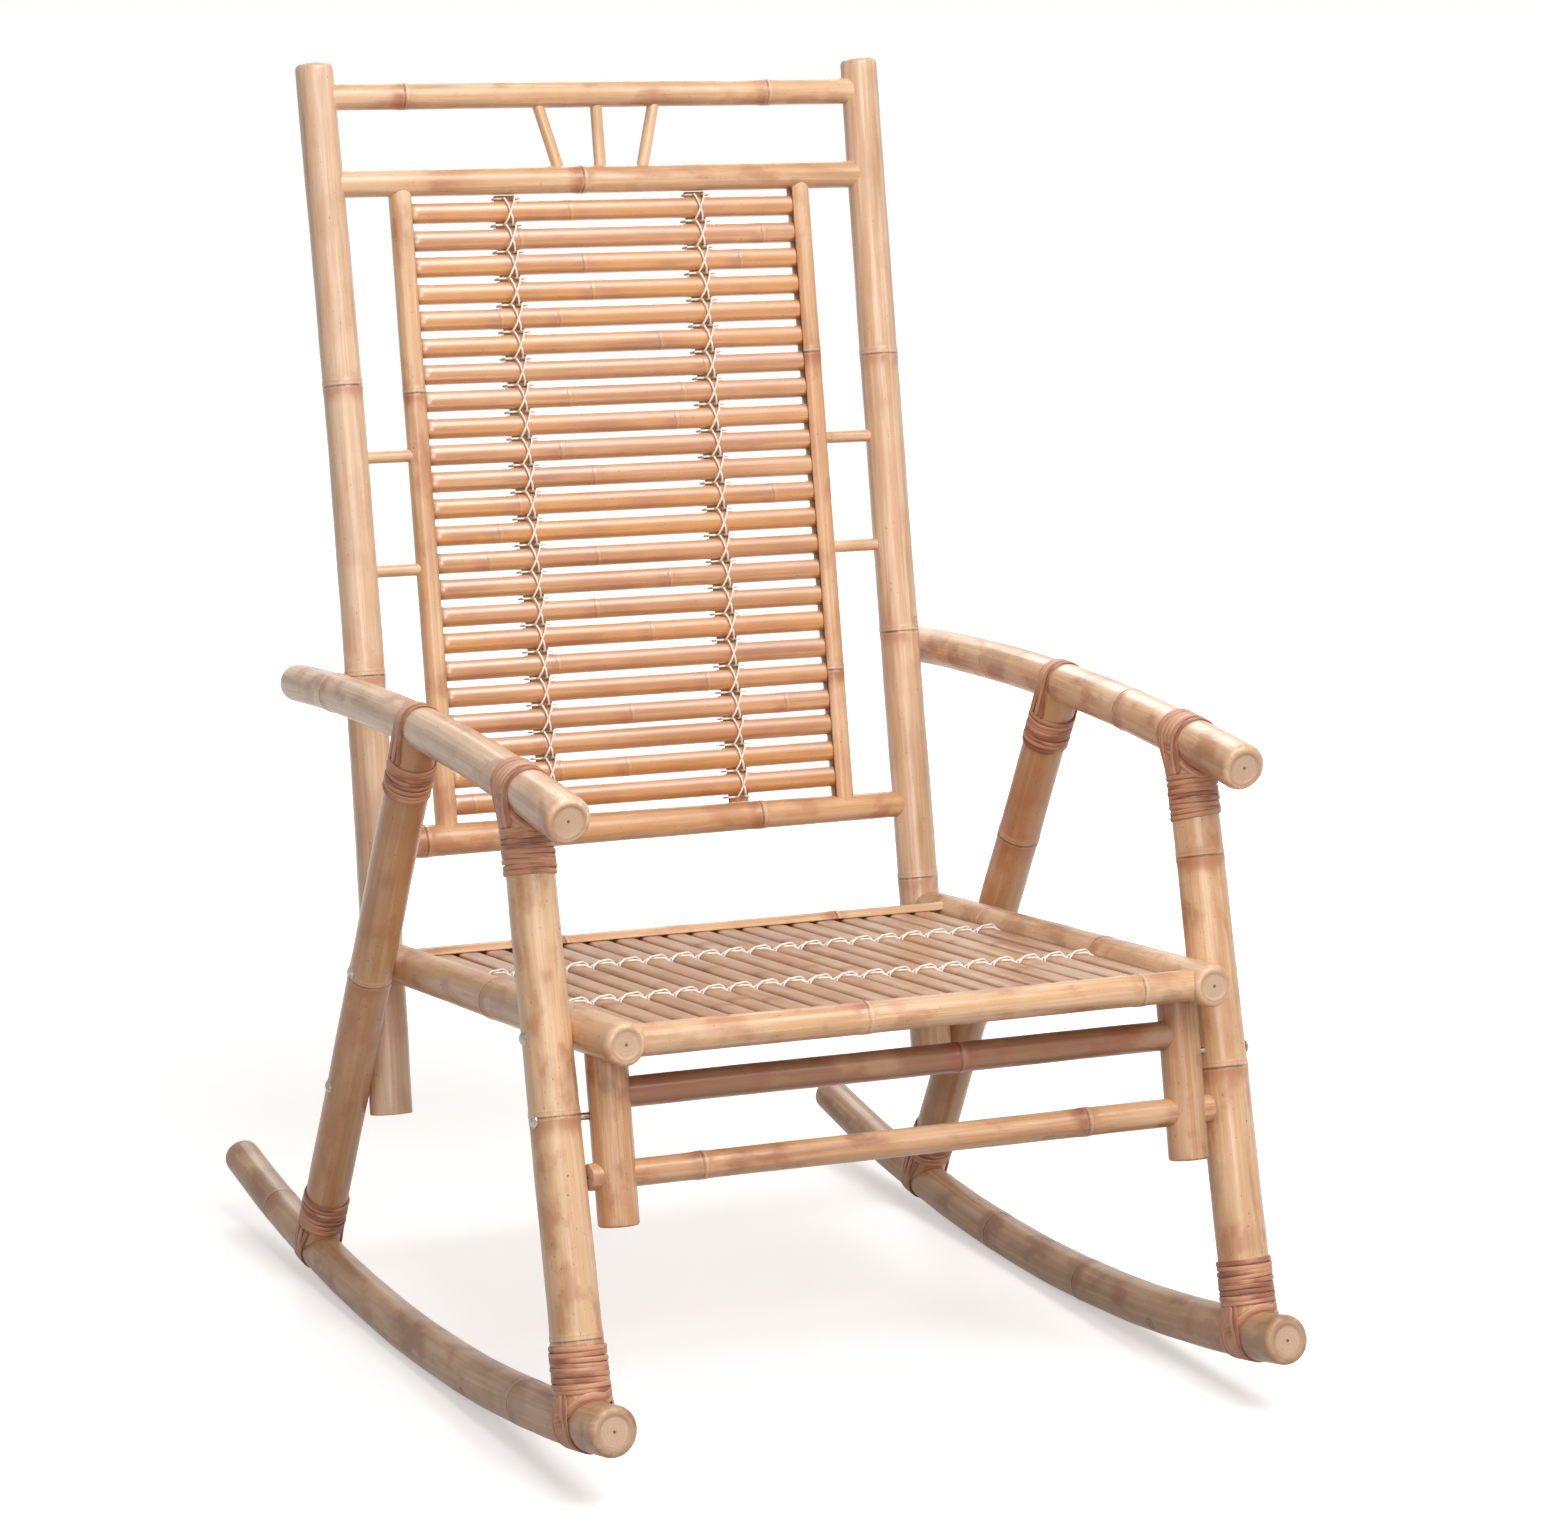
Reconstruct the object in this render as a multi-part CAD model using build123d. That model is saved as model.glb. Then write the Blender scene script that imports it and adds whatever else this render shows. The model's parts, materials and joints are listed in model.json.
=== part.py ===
"""A bamboo rocking chair, built of round culms, half-round slats, cane bindings and cord.

Millimetres, +Z up, the chair facing -Y, left and right as seen from in front of it.
The origin lies on the floor under the middle of the chair's outline. Places along the chair
are given as distances behind a datum, a little behind the point where its rockers touch the floor.
"""
from build123d import *
import os
from math import atan, cos, pi, sin, sqrt

os.makedirs("parts", exist_ok=True)

# Fits and cuts
socket_clearance = 0.15
seat_clearance = 0.3
cut_overrun = 6.0
cope_share = 0.35

# Rockers: their soles lie on an arc, level for one short step where they touch the floor,
# and that step lies under the chair's centre of mass
rocker_sole_radius = 2120.0
touching_back = -9.1
rocker_reach_front = 462.0
rocker_reach_rear = 415.0
rocker_front_radius = 21.0
rocker_rear_radius = 16.5
rocker_ridge = 0.3
rocker_nodes_left = (-288.5, 301.5)
rocker_nodes_right = (-123.5, 48.5)
side_frame_x = 309.0
arc_step = 60.0

# Arms: a shallow arch on top of the legs
arm_arc_radius = 3000.0
arm_crown_height = 556.0
arm_crown_back = -45.0
arm_front_back = -353.0
arm_rear_back = 268.0
arm_front_radius = 20.2
arm_rear_radius = 16.6
arm_nodes_left = (161.5,)
arm_nodes_right = (-158.5,)

# Legs: from the rockers up to the arms
front_leg_foot_back = -403.0
front_leg_head_back = -256.5
front_leg_foot_radius = 21.4
front_leg_head_radius = 19.6
front_leg_nodes_left = (67.0, 246.0)
front_leg_nodes_right = (228.0, 409.0)
rear_leg_foot_back = 209.0
rear_leg_head_back = -31.5
rear_leg_radius = 18.8
rear_leg_nodes_left = (312.0,)
rear_leg_nodes_right = (409.0,)

# Back posts: straight and leaning, their feet hanging free below the seat
post_foot_back = 123.5
post_foot_height = 172.0
post_head_back = 333.0
post_head_height = 1086.0
post_foot_radius = 19.1
post_head_radius = 17.1
post_nodes_left = (130.0, 390.0, 649.0)
post_nodes_right = (169.0, 400.0, 660.0)

# Back rails, at distances along the posts from their feet
top_rail_along = 908.0
shoulder_rail_along = 830.0
lower_rail_along = 239.5
top_rail_radius = 12.3
shoulder_rail_radius = 12.7
lower_rail_left_radius = 14.6
lower_rail_right_radius = 12.0
rail_socket_depth = 14.0
top_rail_node_places = (-190.0, 170.0)
shoulder_rail_node_places = (-22.0,)
lower_rail_node_places = (-222.0, 110.0)

# Stiles, spacers and fan sticks of the back
stile_x = 198.0
stile_radius = 10.2
stile_socket_depth = 8.0
stile_nodes_left = (634.0,)
stile_nodes_right = (660.0, 364.0)
spacer_radius = 5.8
spacer_socket_depth = 5.0
spacer_upper_along = 585.0
spacer_lower_along = 483.0
fan_stick_radius = 5.4
fan_socket_depth = 6.0
fan_spread_top = 60.0
fan_spread_bottom = 39.0

# Back slats: half-round, their ends held in grooves of the stiles
back_slat_count = 23
back_slat_pitch = 24.2
back_slat_width = 19.5
back_slat_thickness = 8.5
back_slat_first_along = 269.7
back_slat_crest = 5.0
back_slat_tuck = 5.0
batten_width = 19.0
batten_thickness = 5.0
batten_corner_radius = 1.0

# Seat side rails: sloping back, bolted to the legs
seat_rail_front_back = -384.5
seat_rail_front_height = 362.4
seat_slope = 0.0965
seat_rail_front_radius = 18.3
seat_rail_rear_radius = 16.4
seat_rail_nodes_left = (262.0,)
seat_rail_nodes_right = (190.0, 400.0)
seat_front_rail_back = -368.0
seat_rear_rail_back = 96.0
seat_front_rail_radius = 13.2
seat_rear_rail_radius = 12.5
seat_cross_socket_depth = 12.0
seat_front_rail_node_places = (-52.0, 205.0)
seat_rear_rail_node_places = (-120.0, 150.0)

# Seat slats: front to back, their ends held in grooves of the front and rear rails
seat_slat_count = 20
seat_slat_pitch = 25.0
seat_slat_width = 22.4
seat_slat_thickness = 8.0
seat_slat_crest = 6.5
seat_slat_tuck = 6.0

# Short posts and stretchers below the seat front
short_post_gap = 6.4
short_post_head_back = -327.0
short_post_foot_back = -363.0
short_post_foot_height = 206.0
short_post_head_radius = 17.7
short_post_foot_radius = 17.2
stretcher_socket_depth = 12.0
upper_stretcher_height = 310.0
lower_stretcher_height = 246.5
upper_stretcher_radius = 12.5
lower_stretcher_left_radius = 11.2
lower_stretcher_right_radius = 12.3
upper_stretcher_node_places = (50.0,)
lower_stretcher_node_places = (-190.0, 165.0)

# Bolts and threaded inserts
bolt_head_radius = 6.0
bolt_head_height = 4.4
bolt_head_skirt = 1.2
bolt_shank_radius = 3.0
bolt_hole_clearance = 0.2
bolt_seat_depth = 1.2
bolt_engagement = 12.0
short_post_bolt_height = 293.0
insert_radius = 4.6
insert_length = 14.0
insert_setback = 1.5

# Culm details
node_ridge = 0.8
node_half_width = 4.5
node_crest_share = 0.35
small_rim = 1.2
large_rim = 5.5
rim_mid_share = 0.3

# Cane bindings round the leg ends, and the straps they hold over the arms and rockers
cane_diameter = 3.6
cane_pitch = 4.2
front_binding_turns = 9
rear_binding_turns = 8
least_winding_gap = 0.4
gap_samples_per_turn = 90
strap_thickness = 1.3
front_strap_width = 3.2
front_strap_step = 4.0
front_strap_count = 4
rear_strap_width = 12.0

# Lacing cord
cord_diameter = 1.9
cord_clearance = 0.25
cord_cross_half_width = 3.4
cord_bend_radius = 2.0
cord_shoulder_radius = 2.6
cord_shoulder_share = 0.52
cord_rise_drop = 1.6
back_lacing_x = 94.5
seat_lacing_front_back = -210.0
seat_lacing_rear_back = -38.0

# The rockers' radii, soles and axes
rocker_length = rocker_reach_front + rocker_reach_rear
sole_centre_height = sqrt(rocker_sole_radius ** 2 - (arc_step / 2) ** 2)


def blend(start, end, share):
    """A value between two values."""
    return start + (end - start) * share


def rocker_radius(back):
    """A rocker's radius at a distance behind the datum."""
    return blend(rocker_front_radius, rocker_rear_radius, (back + rocker_reach_front) / rocker_length)


def rocker_axis(back):
    """Height of a rocker's axis: its radius above its sole, square to the sole's arc."""
    height = sqrt(rocker_sole_radius ** 2 - (back - touching_back) ** 2)
    return sole_centre_height - height + rocker_radius(back) * rocker_sole_radius / height


def arm_axis(back):
    """Height of an arm's axis, on a shallow arc that crowns above the seat."""
    drop = arm_arc_radius - sqrt(arm_arc_radius ** 2 - (back - arm_crown_back) ** 2)
    return arm_crown_height - drop


def seat_axis(back):
    """Height of the seat rails' axes."""
    return seat_rail_front_height - seat_slope * (back - seat_rail_front_back)


def slope_of(axis_height, back):
    """Rise of an axis for each unit of distance back."""
    return (axis_height(back + node_ridge) - axis_height(back - node_ridge)) / (2 * node_ridge)


# The datum's place, so that the chair's outline is centred on the origin
front_overhang = (rocker_front_radius - large_rim) * sin(-atan(slope_of(rocker_axis, -rocker_reach_front)))
rear_overhang = (rocker_rear_radius - large_rim) * sin(atan(slope_of(rocker_axis, rocker_reach_rear)))
datum_y = (rocker_reach_front + front_overhang - rocker_reach_rear - rear_overhang) / 2


def place(x, back, height):
    """A point at x, at a distance behind the datum and at a height."""
    return Vector(x, datum_y + back, height)


def profile(length, start_radius, end_radius, nodes, start_rim, end_rim, ridge):
    """Distances and radii along a culm: rounded rims at its ends, a ridge at each node."""
    def radius(distance):
        return blend(start_radius, end_radius, distance / length)

    crest = node_half_width * node_crest_share
    rows = [(0, start_radius - start_rim)]
    if start_rim:
        rows += [(start_rim * rim_mid_share, start_radius - start_rim * rim_mid_share),
                 (start_rim, radius(start_rim))]
    for node in sorted(nodes):
        rows += [(node - node_half_width, radius(node)), (node - crest, radius(node) + ridge),
                 (node + crest, radius(node) + ridge), (node + node_half_width, radius(node))]
    if end_rim:
        rows += [(length - end_rim, radius(length - end_rim)),
                 (length - end_rim * rim_mid_share, end_radius - end_rim * rim_mid_share)]
    return rows + [(length, end_radius - end_rim)]


class Culm:
    """A straight tapering culm between two points of its axis."""

    def __init__(self, start, end, start_radius, end_radius):
        self.start = start
        self.end = end
        self.start_radius = start_radius
        self.end_radius = end_radius
        self.length = (end - start).length
        self.along = (end - start).normalized()

    def at(self, distance):
        """The point of the axis at a distance from its start."""
        return self.start + self.along * distance

    def radius(self, distance):
        """The radius at a distance from the start."""
        return blend(self.start_radius, self.end_radius, distance / self.length)

    def distance_at_height(self, height):
        """How far from the start the axis reaches a height."""
        return (height - self.start.Z) / self.along.Z

    def crossing(self, other):
        """How far from the start this axis crosses another one in the side view."""
        apart = other.start - self.start
        turn = self.along.Y * other.along.Z - self.along.Z * other.along.Y
        return (apart.Y * other.along.Z - apart.Z * other.along.Y) / turn

    def trimmed(self, start_cut, end_cut):
        """The same culm, shortened at its ends, or lengthened by cuts below zero."""
        return Culm(self.at(start_cut), self.at(self.length - end_cut),
                    self.radius(start_cut), self.radius(self.length - end_cut))

    def solid(self, nodes=(), start_rim=0, end_rim=0):
        """The culm, turned about its axis."""
        rows = profile(self.length, self.start_radius, self.end_radius, nodes, start_rim, end_rim, node_ridge)
        points = [(0, 0)] + [(radius, distance) for distance, radius in rows] + [(0, self.length)]
        section = Plane.XZ * make_face(Polyline(*points, close=True))
        return Plane(self.start, z_dir=self.along).location * revolve(section, Axis.Z)

    def cutter(self, clearance, start_cut=0, end_cut=0):
        """A plain round cutter along the culm, larger all round by a clearance."""
        run = self.trimmed(start_cut, end_cut)
        return Culm(run.start, run.end, run.start_radius + clearance, run.end_radius + clearance).solid()


class Bow:
    """A culm along a shallow arc in the side view, ruled through circles square to its axis."""

    def __init__(self, axis_height, x, front, rear, front_radius, rear_radius, ridge):
        self.axis_height = axis_height
        self.x = x
        self.front = front
        self.rear = rear
        self.front_radius = front_radius
        self.rear_radius = rear_radius
        self.ridge = ridge

    def radius(self, back):
        """The radius at a distance behind the datum."""
        return blend(self.front_radius, self.rear_radius, (back - self.front) / (self.rear - self.front))

    def axis_point(self, back):
        """The point of the axis at a distance behind the datum."""
        return place(self.x, back, self.axis_height(back))

    def direction(self, back):
        """The axis's direction, towards the rear."""
        return Vector(0, 1, slope_of(self.axis_height, back)).normalized()

    def solid(self, nodes=(), rim=0, grow=0):
        """The culm, or a cutter that is larger all round."""
        length = self.rear - self.front
        node_distances = [node - self.front for node in nodes]
        rows = profile(length, self.front_radius, self.rear_radius, node_distances, rim, rim, self.ridge)
        fixed = [row[0] for row in rows]
        step_count = int(length / arc_step) + 2
        for index in range(-step_count, step_count):
            distance = (index + 0.5) * arc_step + touching_back - self.front
            clear = min(abs(distance - other) for other in fixed) > node_half_width
            if clear and 0 < distance < length:
                rows.append((distance, self.radius(self.front + distance)))
        sections = []
        for distance, radius in sorted(rows):
            back = self.front + distance
            plane = Plane(self.axis_point(back), x_dir=(1, 0, 0), z_dir=self.direction(back))
            sections.append(plane * Circle(radius + grow))
        return loft(sections, ruled=True)


def write(shape, name):
    """Write one node's file."""
    export_step(shape, "parts/" + name + ".step")


def group(shapes):
    """Separate solids that share one node."""
    solids = []
    for shape in shapes:
        solids += list(shape.solids())
    return Compound(children=solids)


sides = {"left": -1, "right": 1}


# Straight members of one side
def front_leg(side):
    """The axis of a front leg, from its rocker's axis to its arm's axis."""
    return Culm(place(side * side_frame_x, front_leg_foot_back, rocker_axis(front_leg_foot_back)),
                place(side * side_frame_x, front_leg_head_back, arm_axis(front_leg_head_back)),
                front_leg_foot_radius, front_leg_head_radius)


def rear_leg(side):
    """The axis of a rear leg, from its rocker's axis to its arm's axis."""
    return Culm(place(side * side_frame_x, rear_leg_foot_back, rocker_axis(rear_leg_foot_back)),
                place(side * side_frame_x, rear_leg_head_back, arm_axis(rear_leg_head_back)),
                rear_leg_radius, rear_leg_radius)


def beside_leg(leg, leg_distance, radius):
    """How far from the middle a culm's axis lies when it touches the inside of a leg."""
    return side_frame_x - leg.radius(leg_distance) - radius - seat_clearance


def back_post(side):
    """A back post, on the inside of the rear leg."""
    foot = place(0, post_foot_back, post_foot_height)
    head = place(0, post_head_back, post_head_height)
    middle = Culm(foot, head, post_foot_radius, post_head_radius)
    leg = rear_leg(side)
    x = side * beside_leg(leg, leg.crossing(middle), middle.radius(middle.crossing(leg)))
    return Culm(Vector(x, foot.Y, foot.Z), Vector(x, head.Y, head.Z), post_foot_radius, post_head_radius)


post = back_post(1)
post_x = post.start.X
post_square = Vector(0, -post.along.Z, post.along.Y)


def post_point(x, along, forward):
    """A point of the back: at x, along the posts, and forward of their axes."""
    return Vector(x, post.at(along).Y, post.at(along).Z) + post_square * forward


seat_rail_end_back = post_foot_back + (post_head_back - post_foot_back) * (
    (seat_axis(post_foot_back) - post_foot_height) / (post_head_height - post_foot_height))


def seat_rail(side):
    """A seat side rail, on the insides of both legs, as far as the back post's axis."""
    front = place(0, seat_rail_front_back, seat_axis(seat_rail_front_back))
    rear = place(0, seat_rail_end_back, seat_axis(seat_rail_end_back))
    middle = Culm(front, rear, seat_rail_front_radius, seat_rail_rear_radius)
    spots = []
    for leg in (front_leg(side), rear_leg(side)):
        spot = middle.crossing(leg)
        spots.append((spot, beside_leg(leg, leg.crossing(middle), middle.radius(spot))))
    (near, near_x), (far, far_x) = spots
    spread = (far_x - near_x) / (far - near)
    return Culm(Vector(side * (near_x - near * spread), front.Y, front.Z),
                Vector(side * (near_x + (middle.length - near) * spread), rear.Y, rear.Z),
                seat_rail_front_radius, seat_rail_rear_radius)


def short_post(side):
    """A short post, hung under a seat side rail a little inside the front leg."""
    leg = front_leg(side)
    x = side * (beside_leg(leg, leg.distance_at_height(lower_stretcher_height), short_post_head_radius)
                + seat_clearance - short_post_gap)
    return Culm(place(x, short_post_foot_back, short_post_foot_height),
                place(x, short_post_head_back, seat_axis(short_post_head_back)),
                short_post_foot_radius, short_post_head_radius)


def on_short_post(x, height):
    """The point of the stretchers' plane at a height."""
    middle = short_post(1)
    point = middle.at(middle.distance_at_height(height))
    return Vector(x, point.Y, point.Z)


def seat_point(x, back, raised):
    """A point of the seat: at x, along the seat's slope, and above the rails' axes."""
    return place(x, back, seat_axis(back)) + Vector(0, seat_slope, 1).normalized() * raised


def seat_rail_x(back):
    """How far from the middle a seat side rail's axis lies."""
    rail = seat_rail(1)
    return rail.at((place(0, back, 0).Y - rail.start.Y) / rail.along.Y).X


def seat_rail_radius(back):
    """A seat side rail's radius at a distance behind the datum."""
    rail = seat_rail(1)
    return rail.radius((place(0, back, 0).Y - rail.start.Y) / rail.along.Y)


# Cross members: straight culms along X
def cross_member(middle, half_length, left_radius, right_radius):
    """A culm along X, as long to the left of a point as to the right."""
    reach = Vector(half_length, 0, 0)
    return Culm(middle - reach, middle + reach, left_radius, right_radius)


def back_rail(along, left_radius, right_radius):
    """A rail of the back, its ends let into the posts."""
    half_length = post_x - post.radius(along) + rail_socket_depth
    return cross_member(post_point(0, along, 0), half_length, left_radius, right_radius)


top_rail = back_rail(top_rail_along, top_rail_radius, top_rail_radius)
shoulder_rail = back_rail(shoulder_rail_along, shoulder_rail_radius, shoulder_rail_radius)
lower_rail = back_rail(lower_rail_along, lower_rail_left_radius, lower_rail_right_radius)


def seat_cross_rail(back, radius):
    """A rail of the seat, its ends let into the side rails."""
    half_length = seat_rail_x(back) - seat_rail_radius(back) + seat_cross_socket_depth
    return cross_member(seat_point(0, back, 0), half_length, radius, radius)


seat_front_rail = seat_cross_rail(seat_front_rail_back, seat_front_rail_radius)
seat_rear_rail = seat_cross_rail(seat_rear_rail_back, seat_rear_rail_radius)

short_post_x = short_post(1).start.X
upper_stretcher = cross_member(
    on_short_post(0, upper_stretcher_height),
    short_post_x - short_post_head_radius + stretcher_socket_depth, upper_stretcher_radius, upper_stretcher_radius)
stub_leg = front_leg(1)
stub_radius = stub_leg.radius(stub_leg.distance_at_height(lower_stretcher_height))
lower_stretcher = cross_member(
    on_short_post(0, lower_stretcher_height), side_frame_x - stub_radius - seat_clearance,
    lower_stretcher_left_radius, lower_stretcher_right_radius)


def nodes_across(culm, places_from_middle):
    """Distances of the nodes along a cross member, given from the chair's middle."""
    return [node - culm.start.X for node in places_from_middle]


# Upright members of the back
def stile(side):
    """A stile, its ends let into the lower rail and the shoulder rail."""
    x = side * stile_x
    lower = lower_rail.radius(x - lower_rail.start.X) - stile_socket_depth
    upper = shoulder_rail_radius - stile_socket_depth
    return Culm(post_point(x, lower_rail_along + lower, 0), post_point(x, shoulder_rail_along - upper, 0),
                stile_radius, stile_radius)


def spacer(side, along):
    """A spacer between a stile and its post, let into both."""
    inner = stile_x + stile_radius - spacer_socket_depth
    outer = post_x - post.radius(along) + spacer_socket_depth
    return Culm(post_point(side * inner, along, 0), post_point(side * outer, along, 0),
                spacer_radius, spacer_radius)


def fan_stick(spread):
    """A fan stick between the shoulder rail and the top rail, spread from -1 to 1."""
    whole = Culm(post_point(spread * fan_spread_bottom, shoulder_rail_along, 0),
                 post_point(spread * fan_spread_top, top_rail_along, 0), fan_stick_radius, fan_stick_radius)
    return whole.trimmed(shoulder_rail_radius - fan_socket_depth, top_rail_radius - fan_socket_depth)


fan_sticks = {"left": fan_stick(-1), "middle": fan_stick(0), "right": fan_stick(1)}
spacer_places = {"upper": spacer_upper_along, "lower": spacer_lower_along}


# Bolts: each one passes through a leg into an insert in the culm inside it
class Bolt:
    """A bolt along X with its threaded insert, at the level of a point of the leg's axis."""

    def __init__(self, side, leg, leg_distance, inner, inner_distance):
        self.side = side
        point = (leg.at(leg_distance) + inner.at(inner_distance)) * 0.5
        self.y = point.Y
        self.z = point.Z
        self.head_x = side_frame_x + leg.radius(leg_distance) - bolt_seat_depth
        self.insert_x = abs(inner.at(inner_distance).X) + inner.radius(inner_distance) - insert_setback

    def run(self, outer_x, inner_x, radius):
        """A round bar along the bolt's axis."""
        return Culm(Vector(self.side * inner_x, self.y, self.z), Vector(self.side * outer_x, self.y, self.z),
                    radius, radius).solid()

    def solid(self):
        """The bolt: a domed head on a skirt, and its shank."""
        tip = self.insert_x - bolt_engagement - self.head_x
        body = Polyline((0, bolt_head_height), (0, tip), (bolt_shank_radius, tip), (bolt_shank_radius, 0),
                        (bolt_head_radius, 0), (bolt_head_radius, bolt_head_skirt))
        dome = TangentArc((0, bolt_head_height), (bolt_head_radius, bolt_head_skirt), tangent=(1, 0))
        turned = revolve(Plane.XZ * make_face(body + dome), Axis.Z)
        return Plane(Vector(self.side * self.head_x, self.y, self.z), z_dir=(self.side, 0, 0)).location * turned

    def insert(self):
        """The threaded insert, a sleeve round the end of the shank."""
        sleeve = self.run(self.insert_x, self.insert_x - insert_length, insert_radius)
        bore = self.run(self.insert_x + cut_overrun, self.insert_x - insert_length - cut_overrun,
                        bolt_shank_radius + bolt_hole_clearance)
        return sleeve - bore

    def leg_cut(self):
        """The leg's through hole, with a flat seat for the head."""
        hole = self.run(self.head_x + cut_overrun, 0, bolt_shank_radius + bolt_hole_clearance)
        seat = self.run(self.head_x + bolt_head_radius, self.head_x, bolt_head_radius + bolt_hole_clearance)
        return hole + seat

    def inner_cut(self):
        """The blind hole of the insert, open towards the leg."""
        return self.run(self.insert_x + insert_setback + cut_overrun,
                        self.insert_x - insert_length - socket_clearance, insert_radius + socket_clearance)


def bolts_of(side):
    """The four bolts of one side, by what they join."""
    front = front_leg(side)
    rear = rear_leg(side)
    rail = seat_rail(side)
    hung = short_post(side)
    upright = back_post(side)
    return {
        "front_rail": Bolt(side, front, front.crossing(rail), rail, rail.crossing(front)),
        "short_post": Bolt(side, front, front.distance_at_height(short_post_bolt_height),
                           hung, hung.distance_at_height(short_post_bolt_height)),
        "rear_rail": Bolt(side, rear, rear.crossing(rail), rail, rail.crossing(rear)),
        "back_post": Bolt(side, rear, rear.crossing(upright), upright, upright.crossing(rear)),
    }


# Cane bindings: one unbroken tube wound round a leg's end
def biarc(start, start_tangent, end, end_tangent):
    """Two tangent arcs between two points with given directions, equally far from both."""
    apart = end - start
    both = start_tangent + end_tangent
    square = 2 * (start_tangent.dot(end_tangent) - 1)
    linear = -2 * apart.dot(both)
    reach = (-linear - sqrt(linear ** 2 - 4 * square * apart.dot(apart))) / (2 * square)
    first = start + start_tangent * reach
    second = end - end_tangent * reach
    joint = (first + second) / 2
    return [TangentArc(start, joint, tangent=start_tangent), TangentArc(joint, end, tangent=second - first)]


def winding_path(radius, turns, hand):
    """A helix about Z in quarter turns, each a biarc, with straight ends one diameter long."""
    rise = cane_pitch / (2 * pi)

    def spot(quarter):
        angle = quarter * pi / 2
        point = Vector(radius * cos(angle), hand * radius * sin(angle), rise * angle)
        return point, Vector(-radius * sin(angle), hand * radius * cos(angle), rise).normalized()

    start, tangent = spot(0)
    pieces = [Line(start - tangent * cane_diameter, start)]
    for quarter in range(4 * turns):
        pieces += biarc(*spot(quarter), *spot(quarter + 1))
    end, tangent = spot(4 * turns)
    pieces.append(Line(end, end + tangent * cane_diameter))
    edges = []
    for piece in pieces:
        edges += piece.edges()
    return Wire(edges)


def least_gap(path, turns):
    """The least free gap between neighbouring turns of a wound tube, from points along its path."""
    count = gap_samples_per_turn * turns
    points = [path.position_at(index / count) for index in range(count + 1)]
    nearest = path.length
    for index, point in enumerate(points):
        neighbours = points[index + gap_samples_per_turn // 2:index + 3 * gap_samples_per_turn // 2]
        for other in neighbours:
            nearest = min(nearest, (other - point).length)
    return nearest - cane_diameter


class LegEnd:
    """One end of a leg: the bow it meets, the winding below the joint and the straps over it."""

    def __init__(self, leg, bow, bow_back, at_head, turns, strap_offsets, strap_width):
        self.bow = bow
        self.bow_back = bow_back
        self.turns = turns
        self.strap_offsets = strap_offsets
        self.strap_width = strap_width
        self.centre = leg.end if at_head else leg.start
        self.away = leg.along * -1 if at_head else leg.along
        reach = 2 * bow.radius(bow_back) + (turns + 1) * cane_pitch
        near, far = (leg.length, leg.length - reach) if at_head else (0, reach)
        self.leg_radius = max(leg.radius(near), leg.radius(far))

    def skew(self):
        """Cosine of the angle between the leg and the bow."""
        return abs(self.away.dot(self.bow.direction(self.bow_back)))

    def winding_start(self):
        """Distance from the joint to the middle of the nearest turn, clear of the bow."""
        outer = self.leg_radius + seat_clearance + cane_diameter
        bow_radius = self.bow.radius(self.bow_back) + seat_clearance
        return (bow_radius + outer * self.skew()) / sqrt(1 - self.skew() ** 2) + cane_diameter / 2

    def winding(self, hand):
        """The winding, one tube, with its least gap."""
        radius = self.leg_radius + seat_clearance + cane_diameter / 2
        path = winding_path(radius, self.turns, hand)
        tube = sweep(Plane(path @ 0, z_dir=path % 0) * Circle(cane_diameter / 2), path)
        origin = self.centre + self.away * self.winding_start()
        return Plane(origin, x_dir=(1, 0, 0), z_dir=self.away).location * tube, least_gap(path, self.turns)

    def straps(self):
        """Flat strands over the bow, their tails along the leg's sides as far as the winding."""
        sine = sqrt(1 - self.skew() ** 2)
        inner = max(self.bow.radius(self.bow_back) / sine, self.leg_radius) + seat_clearance
        outer = inner + strap_thickness
        tail = self.winding_start() - cane_diameter / 2 - seat_clearance
        across = self.away.cross(Vector(1, 0, 0))
        bow_direction = self.bow.direction(self.bow_back)
        oblique = abs(across.dot(bow_direction))
        bands = []
        for offset in self.strap_offsets:
            shift = bow_direction * (offset / oblique)
            slant = self.strap_width / 2 / oblique * self.skew()
            drop = tail - shift.dot(self.away) - slant
            outline = (
                Line((-outer, drop), (-outer, 0)) + ThreePointArc((-outer, 0), (0, -outer), (outer, 0))
                + Line((outer, 0), (outer, drop)) + Line((outer, drop), (inner, drop))
                + Line((inner, drop), (inner, 0)) + ThreePointArc((inner, 0), (0, -inner), (-inner, 0))
                + Line((-inner, 0), (-inner, drop)) + Line((-inner, drop), (-outer, drop)))
            plane = Plane(self.centre + shift, x_dir=(1, 0, 0), z_dir=Vector(1, 0, 0).cross(self.away))
            face = plane.location * make_face(outline)
            bands.append(extrude(face, self.strap_width / 2 / oblique, dir=bow_direction, both=True))
        return bands


def leg_ends(side, arm, rocker):
    """The four leg ends of one side, by name."""
    middle = (front_strap_count - 1) / 2
    strands = [(index - middle) * front_strap_step for index in range(front_strap_count)]
    front = front_leg(side)
    rear = rear_leg(side)
    return {
        "arm_front": LegEnd(front, arm, front_leg_head_back, True, front_binding_turns, strands,
                            front_strap_width),
        "arm_rear": LegEnd(rear, arm, rear_leg_head_back, True, rear_binding_turns, [0], rear_strap_width),
        "rocker_front": LegEnd(front, rocker, front_leg_foot_back, False, front_binding_turns, strands,
                               front_strap_width),
        "rocker_rear": LegEnd(rear, rocker, rear_leg_foot_back, False, rear_binding_turns, [0],
                              rear_strap_width),
    }


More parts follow.
